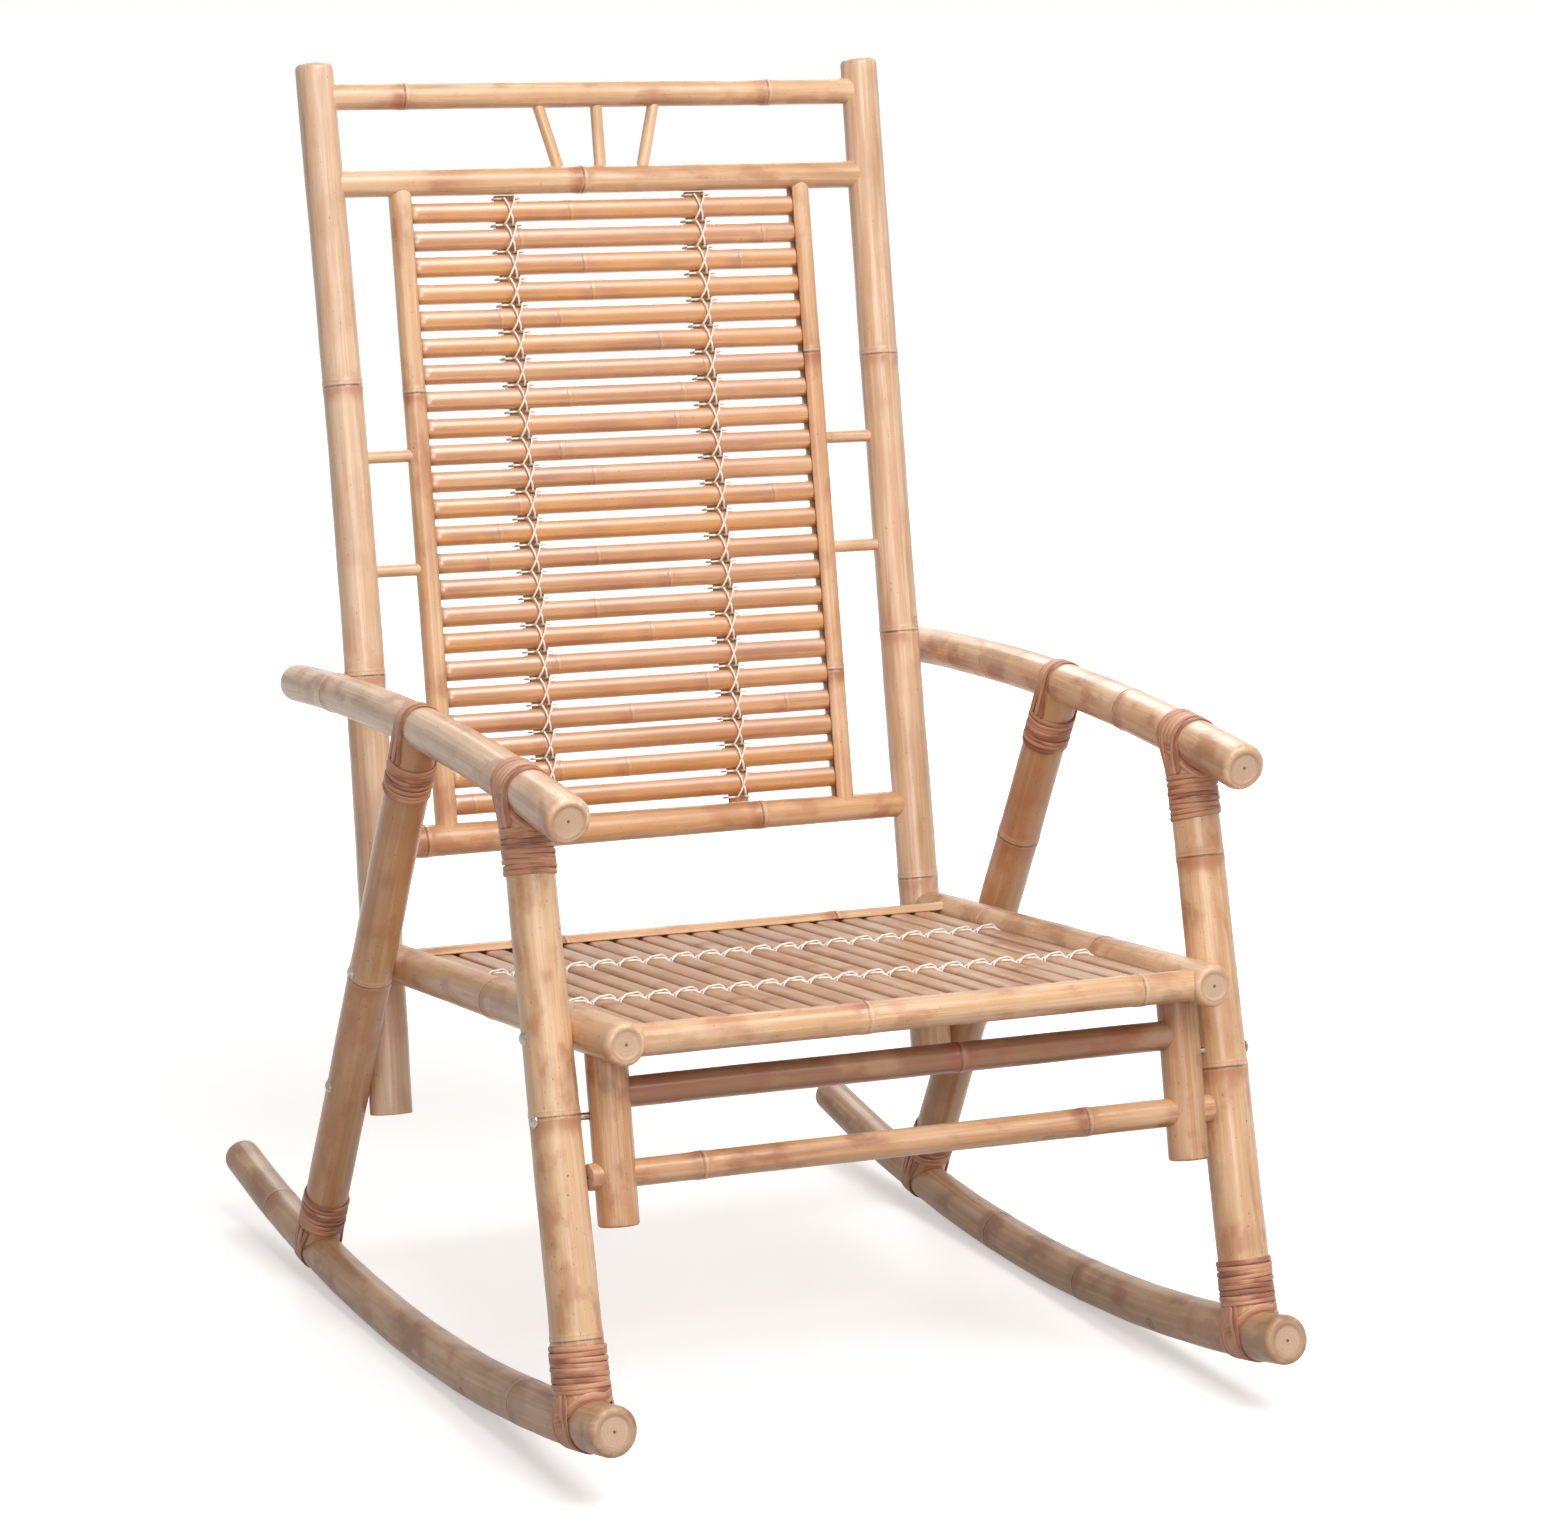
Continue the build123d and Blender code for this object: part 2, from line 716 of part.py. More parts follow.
# Side frames: rocker, arm, two legs and what binds them
all_straps = {"arm": [], "rocker": []}
all_bolts = []
all_inserts = []
side_bolts = {}
leg_nodes = {"left": (front_leg_nodes_left, rear_leg_nodes_left),
             "right": (front_leg_nodes_right, rear_leg_nodes_right)}
bow_nodes = {"left": (arm_nodes_left, rocker_nodes_left), "right": (arm_nodes_right, rocker_nodes_right)}

for side_name, side in sides.items():
    side_bolts[side_name] = bolts_of(side)
    bolts = side_bolts[side_name]
    all_bolts += [bolt.solid() for bolt in bolts.values()]
    all_inserts += [bolt.insert() for bolt in bolts.values()]

    arm = Bow(arm_axis, side * side_frame_x, arm_front_back, arm_rear_back, arm_front_radius,
              arm_rear_radius, node_ridge)
    rocker = Bow(rocker_axis, side * side_frame_x, -rocker_reach_front, rocker_reach_rear,
                 rocker_front_radius, rocker_rear_radius, rocker_ridge)
    write(arm.solid(bow_nodes[side_name][0], large_rim), "arm_" + side_name)
    write(rocker.solid(bow_nodes[side_name][1], large_rim), "rocker_" + side_name)

    arm_cut = arm.solid(grow=seat_clearance)
    rocker_cut = rocker.solid(grow=seat_clearance)
    for leg_name, leg, nodes, foot_back, head_back, cuts in (
            ("front", front_leg(side), leg_nodes[side_name][0], front_leg_foot_back, front_leg_head_back,
             ("front_rail", "short_post")),
            ("rear", rear_leg(side), leg_nodes[side_name][1], rear_leg_foot_back, rear_leg_head_back,
             ("rear_rail", "back_post"))):
        foot_cut = rocker.radius(foot_back) * cope_share
        head_cut = arm.radius(head_back) * cope_share
        body = leg.trimmed(foot_cut, head_cut).solid([node - foot_cut for node in nodes])
        body = body - arm_cut - rocker_cut - seat_rail(side).cutter(socket_clearance)
        for cut in cuts:
            body = body - bolts[cut].leg_cut()
        write(body, leg_name + "_leg_" + side_name)

    for end_name, end in leg_ends(side, arm, rocker).items():
        tube, gap = end.winding(side)
        print(end_name, side_name, "winding: least gap", round(gap, 2), "volume", round(tube.volume))
        assert gap > least_winding_gap
        write(tube, end_name + "_binding_" + side_name)
        all_straps[end_name.split("_")[0]] += end.straps()

write(group(all_straps["arm"]), "arm_straps")
write(group(all_straps["rocker"]), "rocker_straps")
write(group(all_bolts), "bolts")
write(group(all_inserts), "threaded_inserts")

# Back: posts, rails, spacers and fan sticks
for side_name, side in sides.items():
    upright = back_post(side)
    nodes = post_nodes_left if side < 0 else post_nodes_right
    body = upright.solid(nodes, small_rim, large_rim)
    for rail in (top_rail, shoulder_rail, lower_rail):
        body = body - rail.cutter(socket_clearance, -socket_clearance, -socket_clearance)
    for spacer_name, along in spacer_places.items():
        stick = spacer(side, along)
        body = body - stick.cutter(socket_clearance, -socket_clearance, -socket_clearance)
        write(stick.solid(), spacer_name + "_spacer_" + side_name)
    body = body - side_bolts[side_name]["back_post"].inner_cut()
    write(body, "back_post_" + side_name)

top_body = top_rail.solid(nodes_across(top_rail, top_rail_node_places))
shoulder_body = shoulder_rail.solid(nodes_across(shoulder_rail, shoulder_rail_node_places))
lower_body = lower_rail.solid(nodes_across(lower_rail, lower_rail_node_places))
for stick_name, stick in fan_sticks.items():
    cut = stick.cutter(socket_clearance, -socket_clearance, -socket_clearance)
    top_body = top_body - cut
    shoulder_body = shoulder_body - cut
    write(stick.solid(), "fan_stick_" + stick_name)

# Half-round slats and the battens behind them
slat_back = back_slat_crest - back_slat_thickness
first_gap_along = back_slat_first_along - back_slat_pitch / 2
last_gap_along = first_gap_along + back_slat_count * back_slat_pitch
slat_half_length = stile_x - stile_radius + back_slat_tuck


def slat(plane, width, thickness, length):
    """A half-round slat: flat on the plane, crowned along its normal, centred on its origin."""
    outline = Line((-width / 2, 0), (width / 2, 0)) + ThreePointArc((width / 2, 0), (0, thickness), (-width / 2, 0))
    return plane.location * extrude(make_face(outline), length / 2, both=True)


def batten(plane, length):
    """A flat batten with rounded edges, centred on the plane's origin."""
    outline = RectangleRounded(batten_width, batten_thickness, batten_corner_radius)
    return plane.location * extrude(outline, length / 2, both=True)


for side_name, side in sides.items():
    bar = stile(side)
    cut = bar.cutter(socket_clearance, -socket_clearance, -socket_clearance)
    lower_body = lower_body - cut
    shoulder_body = shoulder_body - cut
    nodes = stile_nodes_left if side < 0 else stile_nodes_right
    body = bar.solid([node - lower_rail_along for node in nodes])
    for along in spacer_places.values():
        body = body - spacer(side, along).cutter(socket_clearance, -socket_clearance, -socket_clearance)
    groove_width = cut_overrun + back_slat_tuck + seat_clearance
    groove_x = stile_x - stile_radius - cut_overrun + groove_width / 2
    groove_plane = Plane(
        post_point(side * groove_x, (first_gap_along + last_gap_along) / 2, back_slat_crest - back_slat_thickness / 2),
        x_dir=(1, 0, 0), z_dir=post_square)
    groove = Box(groove_width, last_gap_along - first_gap_along, back_slat_thickness + 2 * seat_clearance)
    body = body - groove_plane.location * groove
    write(body, "stile_" + side_name)

write(top_body, "top_rail")
write(shoulder_body, "shoulder_rail")
write(lower_body, "lower_back_rail")

slats = []
for index in range(back_slat_count):
    along = back_slat_first_along + index * back_slat_pitch
    plane = Plane(post_point(0, along, slat_back), x_dir=post.along, z_dir=(1, 0, 0))
    slats.append(slat(plane, back_slat_width, back_slat_thickness, 2 * slat_half_length))
write(group(slats), "back_slats")

back_batten_depth = slat_back - seat_clearance - batten_thickness / 2
for side_name, side in sides.items():
    x = side * back_lacing_x
    lower_end = lower_rail_along + lower_rail.radius(x - lower_rail.start.X) + seat_clearance
    upper_end = shoulder_rail_along - shoulder_rail_radius - seat_clearance
    plane = Plane(post_point(x, (lower_end + upper_end) / 2, back_batten_depth), x_dir=(1, 0, 0),
                  z_dir=post.along)
    write(batten(plane, upper_end - lower_end), "back_batten_" + side_name)


# Lacing: two cords that cross over each slat and go round the batten in each gap
def rounded_path(points, radii):
    """Straight runs between points, joined by tangent arcs of the radii given for the corners."""
    edges = []
    start = points[0]
    for index, radius in enumerate(radii):
        before, corner, after = points[index], points[index + 1], points[index + 2]
        inward = (corner - before).normalized()
        outward = (after - corner).normalized()
        turn_share = sqrt((1 - inward.dot(outward)) / (1 + inward.dot(outward)))
        cut = radius * turn_share
        edges += Line(start, corner - inward * cut).edges()
        edges += TangentArc(corner - inward * cut, corner + outward * cut, tangent=inward).edges()
        start = corner + outward * cut
    edges += Line(start, points[-1]).edges()
    return Wire(edges)


def lacing_cord(origin, along, across, raised, crest, under, first_gap, pitch, count, layer):
    """One cord of a lacing row, its layer 0 next to the slats or 1 over the other cord.

    along, across and raised are directions, crest and under the slats' crown and flat side,
    first_gap the place of the first gap along the row.
    """
    spread = cord_diameter + cord_clearance
    free = cord_diameter / 2 + cord_clearance
    hand = 1 if layer else -1
    side_reach = hand * (cord_cross_half_width + layer * spread)
    batten_front = under - seat_clearance
    front_level = batten_front + free + layer * spread
    back_level = batten_front - batten_thickness - free - layer * spread
    edge_reach = hand * (batten_width / 2 + free + layer * spread)
    crown = crest + free + layer * spread
    rise = crown - cord_rise_drop - cord_bend_radius
    shoulder = cord_shoulder_share * pitch / 2

    def point(across_place, along_place, level):
        return origin + along * along_place + across * across_place + raised * level

    points = [point(0, first_gap, back_level)]
    radii = []
    for index in range(count):
        gap = first_gap + index * pitch
        centre = gap + pitch / 2
        slant = side_reach * cord_shoulder_share
        points += [point(-edge_reach, gap, back_level), point(-edge_reach, gap, front_level),
                   point(-side_reach, gap, front_level), point(-side_reach, gap, rise),
                   point(-slant, centre - shoulder, crown), point(slant, centre + shoulder, crown),
                   point(side_reach, gap + pitch, rise), point(side_reach, gap + pitch, front_level),
                   point(edge_reach, gap + pitch, front_level), point(edge_reach, gap + pitch, back_level)]
        radii += ([cord_bend_radius] * 3 + [cord_bend_radius] + [cord_shoulder_radius] * 2
                  + [cord_bend_radius] + [cord_bend_radius] * 3)
    points.append(point(0, first_gap + count * pitch, back_level))
    path = rounded_path(points, radii)
    return sweep(Plane(path @ 0, z_dir=path % 0) * Circle(cord_diameter / 2), path), path.length


for side_name, side in sides.items():
    cords = []
    for layer in (0, 1):
        tube, length = lacing_cord(
            post_point(side * back_lacing_x, 0, 0), post.along, Vector(1, 0, 0), post_square, back_slat_crest,
            slat_back, first_gap_along, back_slat_pitch, back_slat_count, layer)
        print("back lacing", side_name, "layer", layer, "length", round(length), "volume share",
              round(tube.volume / (length * pi * cord_diameter ** 2 / 4), 4))
        cords.append(tube)
    write(group(cords), "back_lacing_" + side_name)

# Seat: side rails, cross rails, slats, battens and lacing
slat_under = seat_slat_crest - seat_slat_thickness
slat_row_width = seat_slat_count * seat_slat_pitch
seat_along = Vector(0, 1, -seat_slope).normalized()
seat_raised = Vector(0, seat_slope, 1).normalized()
seat_bars = {"seat_front_rail": (seat_front_rail, seat_front_rail_node_places, 1),
             "seat_rear_rail": (seat_rear_rail, seat_rear_rail_node_places, -1)}

for side_name, side in sides.items():
    rail = seat_rail(side)
    nodes = seat_rail_nodes_left if side < 0 else seat_rail_nodes_right
    end_cut = post.radius(post.distance_at_height(rail.end.Z)) * cope_share
    body = rail.trimmed(0, end_cut).solid(nodes, large_rim)
    body = body - back_post(side).cutter(seat_clearance + node_ridge)
    for bar, places, facing in seat_bars.values():
        body = body - bar.cutter(socket_clearance, -socket_clearance, -socket_clearance)
    for cut in ("front_rail", "rear_rail"):
        body = body - side_bolts[side_name][cut].inner_cut()
    write(body, "seat_side_rail_" + side_name)

for bar_name, (bar, places, facing) in seat_bars.items():
    groove_depth = cut_overrun + seat_slat_tuck + seat_clearance
    centre = bar.at(bar.length / 2) + seat_along * (
        facing * (bar.start_radius + cut_overrun - groove_depth / 2)) + seat_raised * (
        seat_slat_crest - seat_slat_thickness / 2)
    groove = Box(slat_row_width, groove_depth, seat_slat_thickness + 2 * seat_clearance)
    body = bar.solid(nodes_across(bar, places))
    body = body - Plane(centre, x_dir=(1, 0, 0), z_dir=seat_raised).location * groove
    write(body, bar_name)

slat_front = seat_front_rail.start + seat_along * (seat_front_rail_radius - seat_slat_tuck)
slat_rear = seat_rear_rail.start - seat_along * (seat_rear_rail_radius - seat_slat_tuck)
slat_length = (slat_rear.Y - slat_front.Y) / seat_along.Y
slats = []
for index in range(seat_slat_count):
    x = (index + 0.5) * seat_slat_pitch - slat_row_width / 2
    middle = Vector(x, (slat_front.Y + slat_rear.Y) / 2, (slat_front.Z + slat_rear.Z) / 2)
    plane = Plane(middle + seat_raised * slat_under, x_dir=(1, 0, 0), z_dir=seat_along * -1)
    slats.append(slat(plane, seat_slat_width, seat_slat_thickness, slat_length))
write(group(slats), "seat_slats")

for row_name, back in (("front", seat_lacing_front_back), ("rear", seat_lacing_rear_back)):
    middle = seat_point(0, back, slat_under - seat_clearance - batten_thickness / 2)
    half_length = seat_rail_x(back) - seat_rail_radius(back) - seat_clearance
    plane = Plane(middle, x_dir=seat_along, z_dir=(1, 0, 0))
    write(batten(plane, 2 * half_length), "seat_batten_" + row_name)
    cords = []
    for layer in (0, 1):
        tube, length = lacing_cord(
            seat_point(0, back, 0), Vector(1, 0, 0), seat_along, seat_raised, seat_slat_crest, slat_under,
            -slat_row_width / 2, seat_slat_pitch, seat_slat_count, layer)
        print("seat lacing", row_name, "layer", layer, "length", round(length), "volume share",
              round(tube.volume / (length * pi * cord_diameter ** 2 / 4), 4))
        cords.append(tube)
    write(group(cords), "seat_lacing_" + row_name)

# Short posts and stretchers
for side_name, side in sides.items():
    hung = short_post(side)
    head_cut = seat_rail_front_radius * cope_share
    body = hung.trimmed(0, head_cut).solid((), small_rim, small_rim)
    body = body - seat_rail(side).cutter(seat_clearance)
    body = body - upper_stretcher.cutter(socket_clearance, -socket_clearance, -socket_clearance)
    body = body - lower_stretcher.cutter(socket_clearance, -cut_overrun, -cut_overrun)
    body = body - side_bolts[side_name]["short_post"].inner_cut()
    write(body, "short_post_" + side_name)

write(upper_stretcher.solid(nodes_across(upper_stretcher, upper_stretcher_node_places)), "upper_stretcher")
write(lower_stretcher.solid(nodes_across(lower_stretcher, lower_stretcher_node_places), small_rim, small_rim),
      "lower_stretcher")
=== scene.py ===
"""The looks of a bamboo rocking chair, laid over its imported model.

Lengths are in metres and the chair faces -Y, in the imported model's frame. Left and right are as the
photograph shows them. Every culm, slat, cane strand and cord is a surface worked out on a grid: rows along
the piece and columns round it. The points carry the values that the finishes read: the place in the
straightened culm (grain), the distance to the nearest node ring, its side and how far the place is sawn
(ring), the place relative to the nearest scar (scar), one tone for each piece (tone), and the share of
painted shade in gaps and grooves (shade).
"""
import json
import logging
import math
from dataclasses import dataclass, replace
from enum import Enum
from typing import Any

import bpy
import numpy as np
from mathutils import Matrix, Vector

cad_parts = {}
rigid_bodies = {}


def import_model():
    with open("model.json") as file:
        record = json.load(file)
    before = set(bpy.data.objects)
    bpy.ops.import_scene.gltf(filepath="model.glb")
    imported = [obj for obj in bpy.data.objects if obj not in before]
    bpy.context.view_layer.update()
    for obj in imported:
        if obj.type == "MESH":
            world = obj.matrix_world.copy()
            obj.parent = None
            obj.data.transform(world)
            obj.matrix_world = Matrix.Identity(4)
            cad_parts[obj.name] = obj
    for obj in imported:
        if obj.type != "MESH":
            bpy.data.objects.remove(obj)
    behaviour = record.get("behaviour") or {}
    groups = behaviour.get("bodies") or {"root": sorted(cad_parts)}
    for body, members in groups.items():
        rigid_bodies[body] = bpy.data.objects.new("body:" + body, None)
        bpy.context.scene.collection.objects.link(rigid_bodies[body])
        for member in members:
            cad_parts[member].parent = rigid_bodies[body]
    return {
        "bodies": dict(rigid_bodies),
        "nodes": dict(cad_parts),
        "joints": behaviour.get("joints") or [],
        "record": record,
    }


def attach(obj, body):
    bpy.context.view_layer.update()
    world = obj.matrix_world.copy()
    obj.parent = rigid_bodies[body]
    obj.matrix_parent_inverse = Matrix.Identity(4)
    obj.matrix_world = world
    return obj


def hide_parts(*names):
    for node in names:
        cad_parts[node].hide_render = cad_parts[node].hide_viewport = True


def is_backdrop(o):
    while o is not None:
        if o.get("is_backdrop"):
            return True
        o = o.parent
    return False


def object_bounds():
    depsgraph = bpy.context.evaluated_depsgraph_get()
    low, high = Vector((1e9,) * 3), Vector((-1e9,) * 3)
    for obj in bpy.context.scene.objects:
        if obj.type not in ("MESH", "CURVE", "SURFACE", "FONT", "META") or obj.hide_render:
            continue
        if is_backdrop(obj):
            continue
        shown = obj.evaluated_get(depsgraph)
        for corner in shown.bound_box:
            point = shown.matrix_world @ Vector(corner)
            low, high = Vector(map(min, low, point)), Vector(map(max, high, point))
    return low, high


log = logging.getLogger("rocking_chair")

Array = np.ndarray
Point = tuple[float, float, float]
Colour = tuple[float, float, float, float]

BODY = "root"
WHITE = (1.0, 1.0, 1.0, 1.0)
RIGHTWARD = np.array([1.0, 0.0, 0.0])
UPWARD = np.array([0.0, 0.0, 1.0])

# Places and directions shared by several sub-assemblies
DATUM_Y = 0.024128
SIDE_X = 0.309
POST_ALONG = np.array([0.0, 0.223418, 0.974723])
POST_FORWARD = np.array([0.0, -0.974723, 0.223418])
POST_FOOT = np.array([0.0, 0.14763, 0.172])
SEAT_SLOPE = 0.0965
SEAT_ALONG = np.array([0.0, 1.0, -SEAT_SLOPE]) / math.hypot(1.0, SEAT_SLOPE)
SEAT_RAISED = np.array([0.0, SEAT_SLOPE, 1.0]) / math.hypot(1.0, SEAT_SLOPE)
SEAT_FRONT_BACK = -0.3845
SEAT_FRONT_HEIGHT = 0.3624

# How fine the grids are, and how near to a node ring, an end or the box their points come
ROUND_COLUMNS = 44
BODY_STEP = 0.0075
SLAT_STEP = 0.012
LEAST_STEP = 0.0003
NODE_OFFSETS = 0.001 * np.array([0, 0.35, 0.7, 1.05, 1.5, 2.0, 2.6, 3.4, 4.4, 5.8, 7.6, 10.0, 13.0])
RIM_ARC = np.linspace(0.0, np.pi / 2, 7)[:-1]
RIM_SAWN = np.array([0.5, 0.15, 0.0, 0.0, 0.0, 0.0])
CAP_SHARES = np.array([0.0, 0.15, 0.35, 0.55, 0.7, 0.8, 0.86, 0.92, 0.96])
LARGE_RIM = 0.004
BOX_MARGIN = 0.00002

# What the finishes read: the farthest ring and scar, and the reach of a ring's two sides
FAR_RING = 0.03
RING_SIDE = 0.003
FAR_SCAR = 5.0

# A node ring's three waves: share of the ridge, place beyond the ring, half width
RING_WAVES = ((0.72, 0.0, 0.005), (0.3, 0.0042, 0.0012), (-0.62, 0.0, 0.0006))

# Waves for each metre across and along a culm, in the skin's noises
FIBRE_WAVES = (1150.0, 1150.0, 17.0)
STREAK_WAVES = (230.0, 230.0, 6.0)
SWEEP_WAVES = (75.0, 75.0, 8.0)
PATCH_WAVES = (38.0, 38.0, 24.0)
CLOUD_WAVES = (16.0, 16.0, 11.0)
SPECK_WAVES = (620.0, 620.0, 330.0)
SAW_WAVES = 2100.0

# The same for cane and for small trim
CANE_FIBRE_WAVES = (2400.0, 2400.0, 30.0)
CANE_SLOW_WAVES = (20.0, 20.0, 22.0)
TRIM_SLOW_WAVES = (40.0, 40.0, 40.0)


class Choice(Enum):
    """Named options, each of which picks its own from values in the options' order."""

    @property
    def word(self) -> str:
        """The option's word in names."""
        return self.name.lower()

    def of(self, values: tuple) -> Any:
        """This option's one of the values."""
        return values[list(type(self)).index(self)]


class Side(Choice):
    """The chair's two sides, each with its sign along X."""

    LEFT = -1.0
    RIGHT = 1.0


class LegPlace(Choice):
    """A side's two legs."""

    FRONT = "front"
    REAR = "rear"


class Carrier(Choice):
    """What a leg's end meets."""

    ARM = "arm"
    ROCKER = "rocker"


def paint(red: float, green: float, blue: float) -> Colour:
    """A screen colour, 0 to 255 in each channel, as the linear colour that a shader takes.

    Args:
        red: Red channel.
        green: Green channel.
        blue: Blue channel.

    Returns:
        The linear colour with an alpha of 1.
    """
    linear = [((c / 255 + 0.055) / 1.055) ** 2.4 if c > 10 else c / 255 / 12.92 for c in (red, green, blue)]
    return (*linear, 1.0)


def unit(vector: Array) -> Array:
    """Vectors along the last axis, each divided by its length."""
    return vector / np.linalg.norm(vector, axis=-1, keepdims=True)


def smooth_share(values: Array) -> Array:
    """Values clipped to 0 and 1 and eased: three times the square less twice the cube."""
    clipped = np.clip(values, 0.0, 1.0)
    return clipped * clipped * (3.0 - 2.0 * clipped)


# Shader maths
class Socket:
    """An output socket with arithmetic, so that shader maths reads as an expression."""

    def __init__(self, tree: "Tree", out: bpy.types.NodeSocket) -> None:
        """Keeps the socket and the tree that it is in."""
        self.tree = tree
        self.out = out

    def maths(self, operation: str, *values: "Socket | float") -> "Socket":
        """A Math node.

        Args:
            operation: Its operation.
            *values: Its inputs, in order.

        Returns:
            The node's output.
        """
        return self.tree.node("ShaderNodeMath", {"operation": operation}, dict(enumerate(values)))

    def sibling(self, output: int | str) -> "Socket":
        """Another output of the same node, by name or place."""
        return Socket(self.tree, self.out.node.outputs[output])

    def __add__(self, other: "Socket | float") -> "Socket":
        """The sum."""
        return self.maths("ADD", self, other)

    def __radd__(self, other: float) -> "Socket":
        """The sum, with a number first."""
        return self.maths("ADD", other, self)

    def __sub__(self, other: "Socket | float") -> "Socket":
        """The difference."""
        return self.maths("SUBTRACT", self, other)

    def __rsub__(self, other: float) -> "Socket":
        """The difference, with a number first."""
        return self.maths("SUBTRACT", other, self)

    def __mul__(self, other: "Socket | float") -> "Socket":
        """The product."""
        return self.maths("MULTIPLY", self, other)

    def __rmul__(self, other: float) -> "Socket":
        """The product, with a number first."""
        return self.maths("MULTIPLY", other, self)

    def rise(self, low: float, high: float) -> "Socket":
        """An eased step: 0 up to low, 1 from high, or falling where low is above high.

        Args:
            low: Where the step starts.
            high: Where the step ends.

        Returns:
            The step.
        """
        settings = {"interpolation_type": "SMOOTHSTEP"}
        if low < high:
            return self.tree.node("ShaderNodeMapRange", settings,
                                  {"Value": self, "From Min": low, "From Max": high})
        return 1.0 - self.tree.node("ShaderNodeMapRange", settings,
                                    {"Value": self, "From Min": high, "From Max": low})


class Tree:
    """The node tree of a material or of the world."""

    def __init__(self, owner: bpy.types.Material | bpy.types.World) -> None:
        """Empties the owner's tree.

        Args:
            owner: The material or world.
        """
        owner.use_nodes = True
        self.owner = owner
        self.nodes = owner.node_tree.nodes
        self.links = owner.node_tree.links
        self.nodes.clear()

    def node(self, kind: str, settings: dict, inputs: dict, output: int | str = 0) -> Socket:
        """Any node.

        Args:
            kind: The node's type.
            settings: Its settings, which are set first.
            inputs: Values or links of its sockets, by name or place.
            output: The output that is wanted, by name or place.

        Returns:
            That output.
        """
        made = self.nodes.new(kind)
        for key, value in settings.items():
            setattr(made, key, value)
        for key, value in inputs.items():
            if isinstance(value, Socket):
                self.links.new(value.out, made.inputs[key])
            else:
                made.inputs[key].default_value = value
        return Socket(self, made.outputs[output])

    def field(self, name: str, output: str) -> Socket:
        """One of the mesh's own attributes."""
        return self.node("ShaderNodeAttribute", {"attribute_name": name}, {}, output)

    def vector(self, operation: str, *values: Socket | Point, output: str = "Vector") -> Socket:
        """A Vector Math node."""
        return self.node("ShaderNodeVectorMath", {"operation": operation}, dict(enumerate(values)), output)

    def shifted(self, place: Socket, tone: Socket, shift: Point) -> Socket:
        """A place moved by the tone times a shift, so that each piece has its own part of the noises."""
        parts = {axis: tone * amount for axis, amount in enumerate(shift)}
        return self.vector("ADD", place, self.node("ShaderNodeCombineXYZ", {}, parts))

    def bump(self, strength: float, distance: float, height: Socket) -> Socket:
        """The normal that a height in shares of a distance gives."""
        inputs = {"Strength": strength, "Distance": distance, "Height": height}
        return self.node("ShaderNodeBump", {}, inputs, "Normal")

    def noise(self, place: Socket, stretch: Point, detail: float) -> Socket:
        """Noise over a place.

        Args:
            place: The place.
            stretch: Waves for each metre in each direction.
            detail: How many finer layers it has.

        Returns:
            A value about 0.5.
        """
        scaled = self.vector("MULTIPLY", place, stretch)
        return self.node("ShaderNodeTexNoise", {}, {"Vector": scaled, "Scale": 1.0, "Detail": detail})

    def mix(self, share: Socket | float, start: Socket | Colour, end: Socket | Colour) -> Socket:
        """A colour between two colours."""
        return self.node("ShaderNodeMix", {"data_type": "RGBA"},
                         {"Factor": share, 6: start, 7: end}, 2)

    def finish(self, surface: Socket, kind: str = "ShaderNodeOutputMaterial") -> bpy.types.ID:
        """Joins the surface to the output.

        Args:
            surface: The shader.
            kind: The output node's type.

        Returns:
            The material or world.
        """
        self.links.new(surface.out, self.nodes.new(kind).inputs["Surface"])
        return self.owner


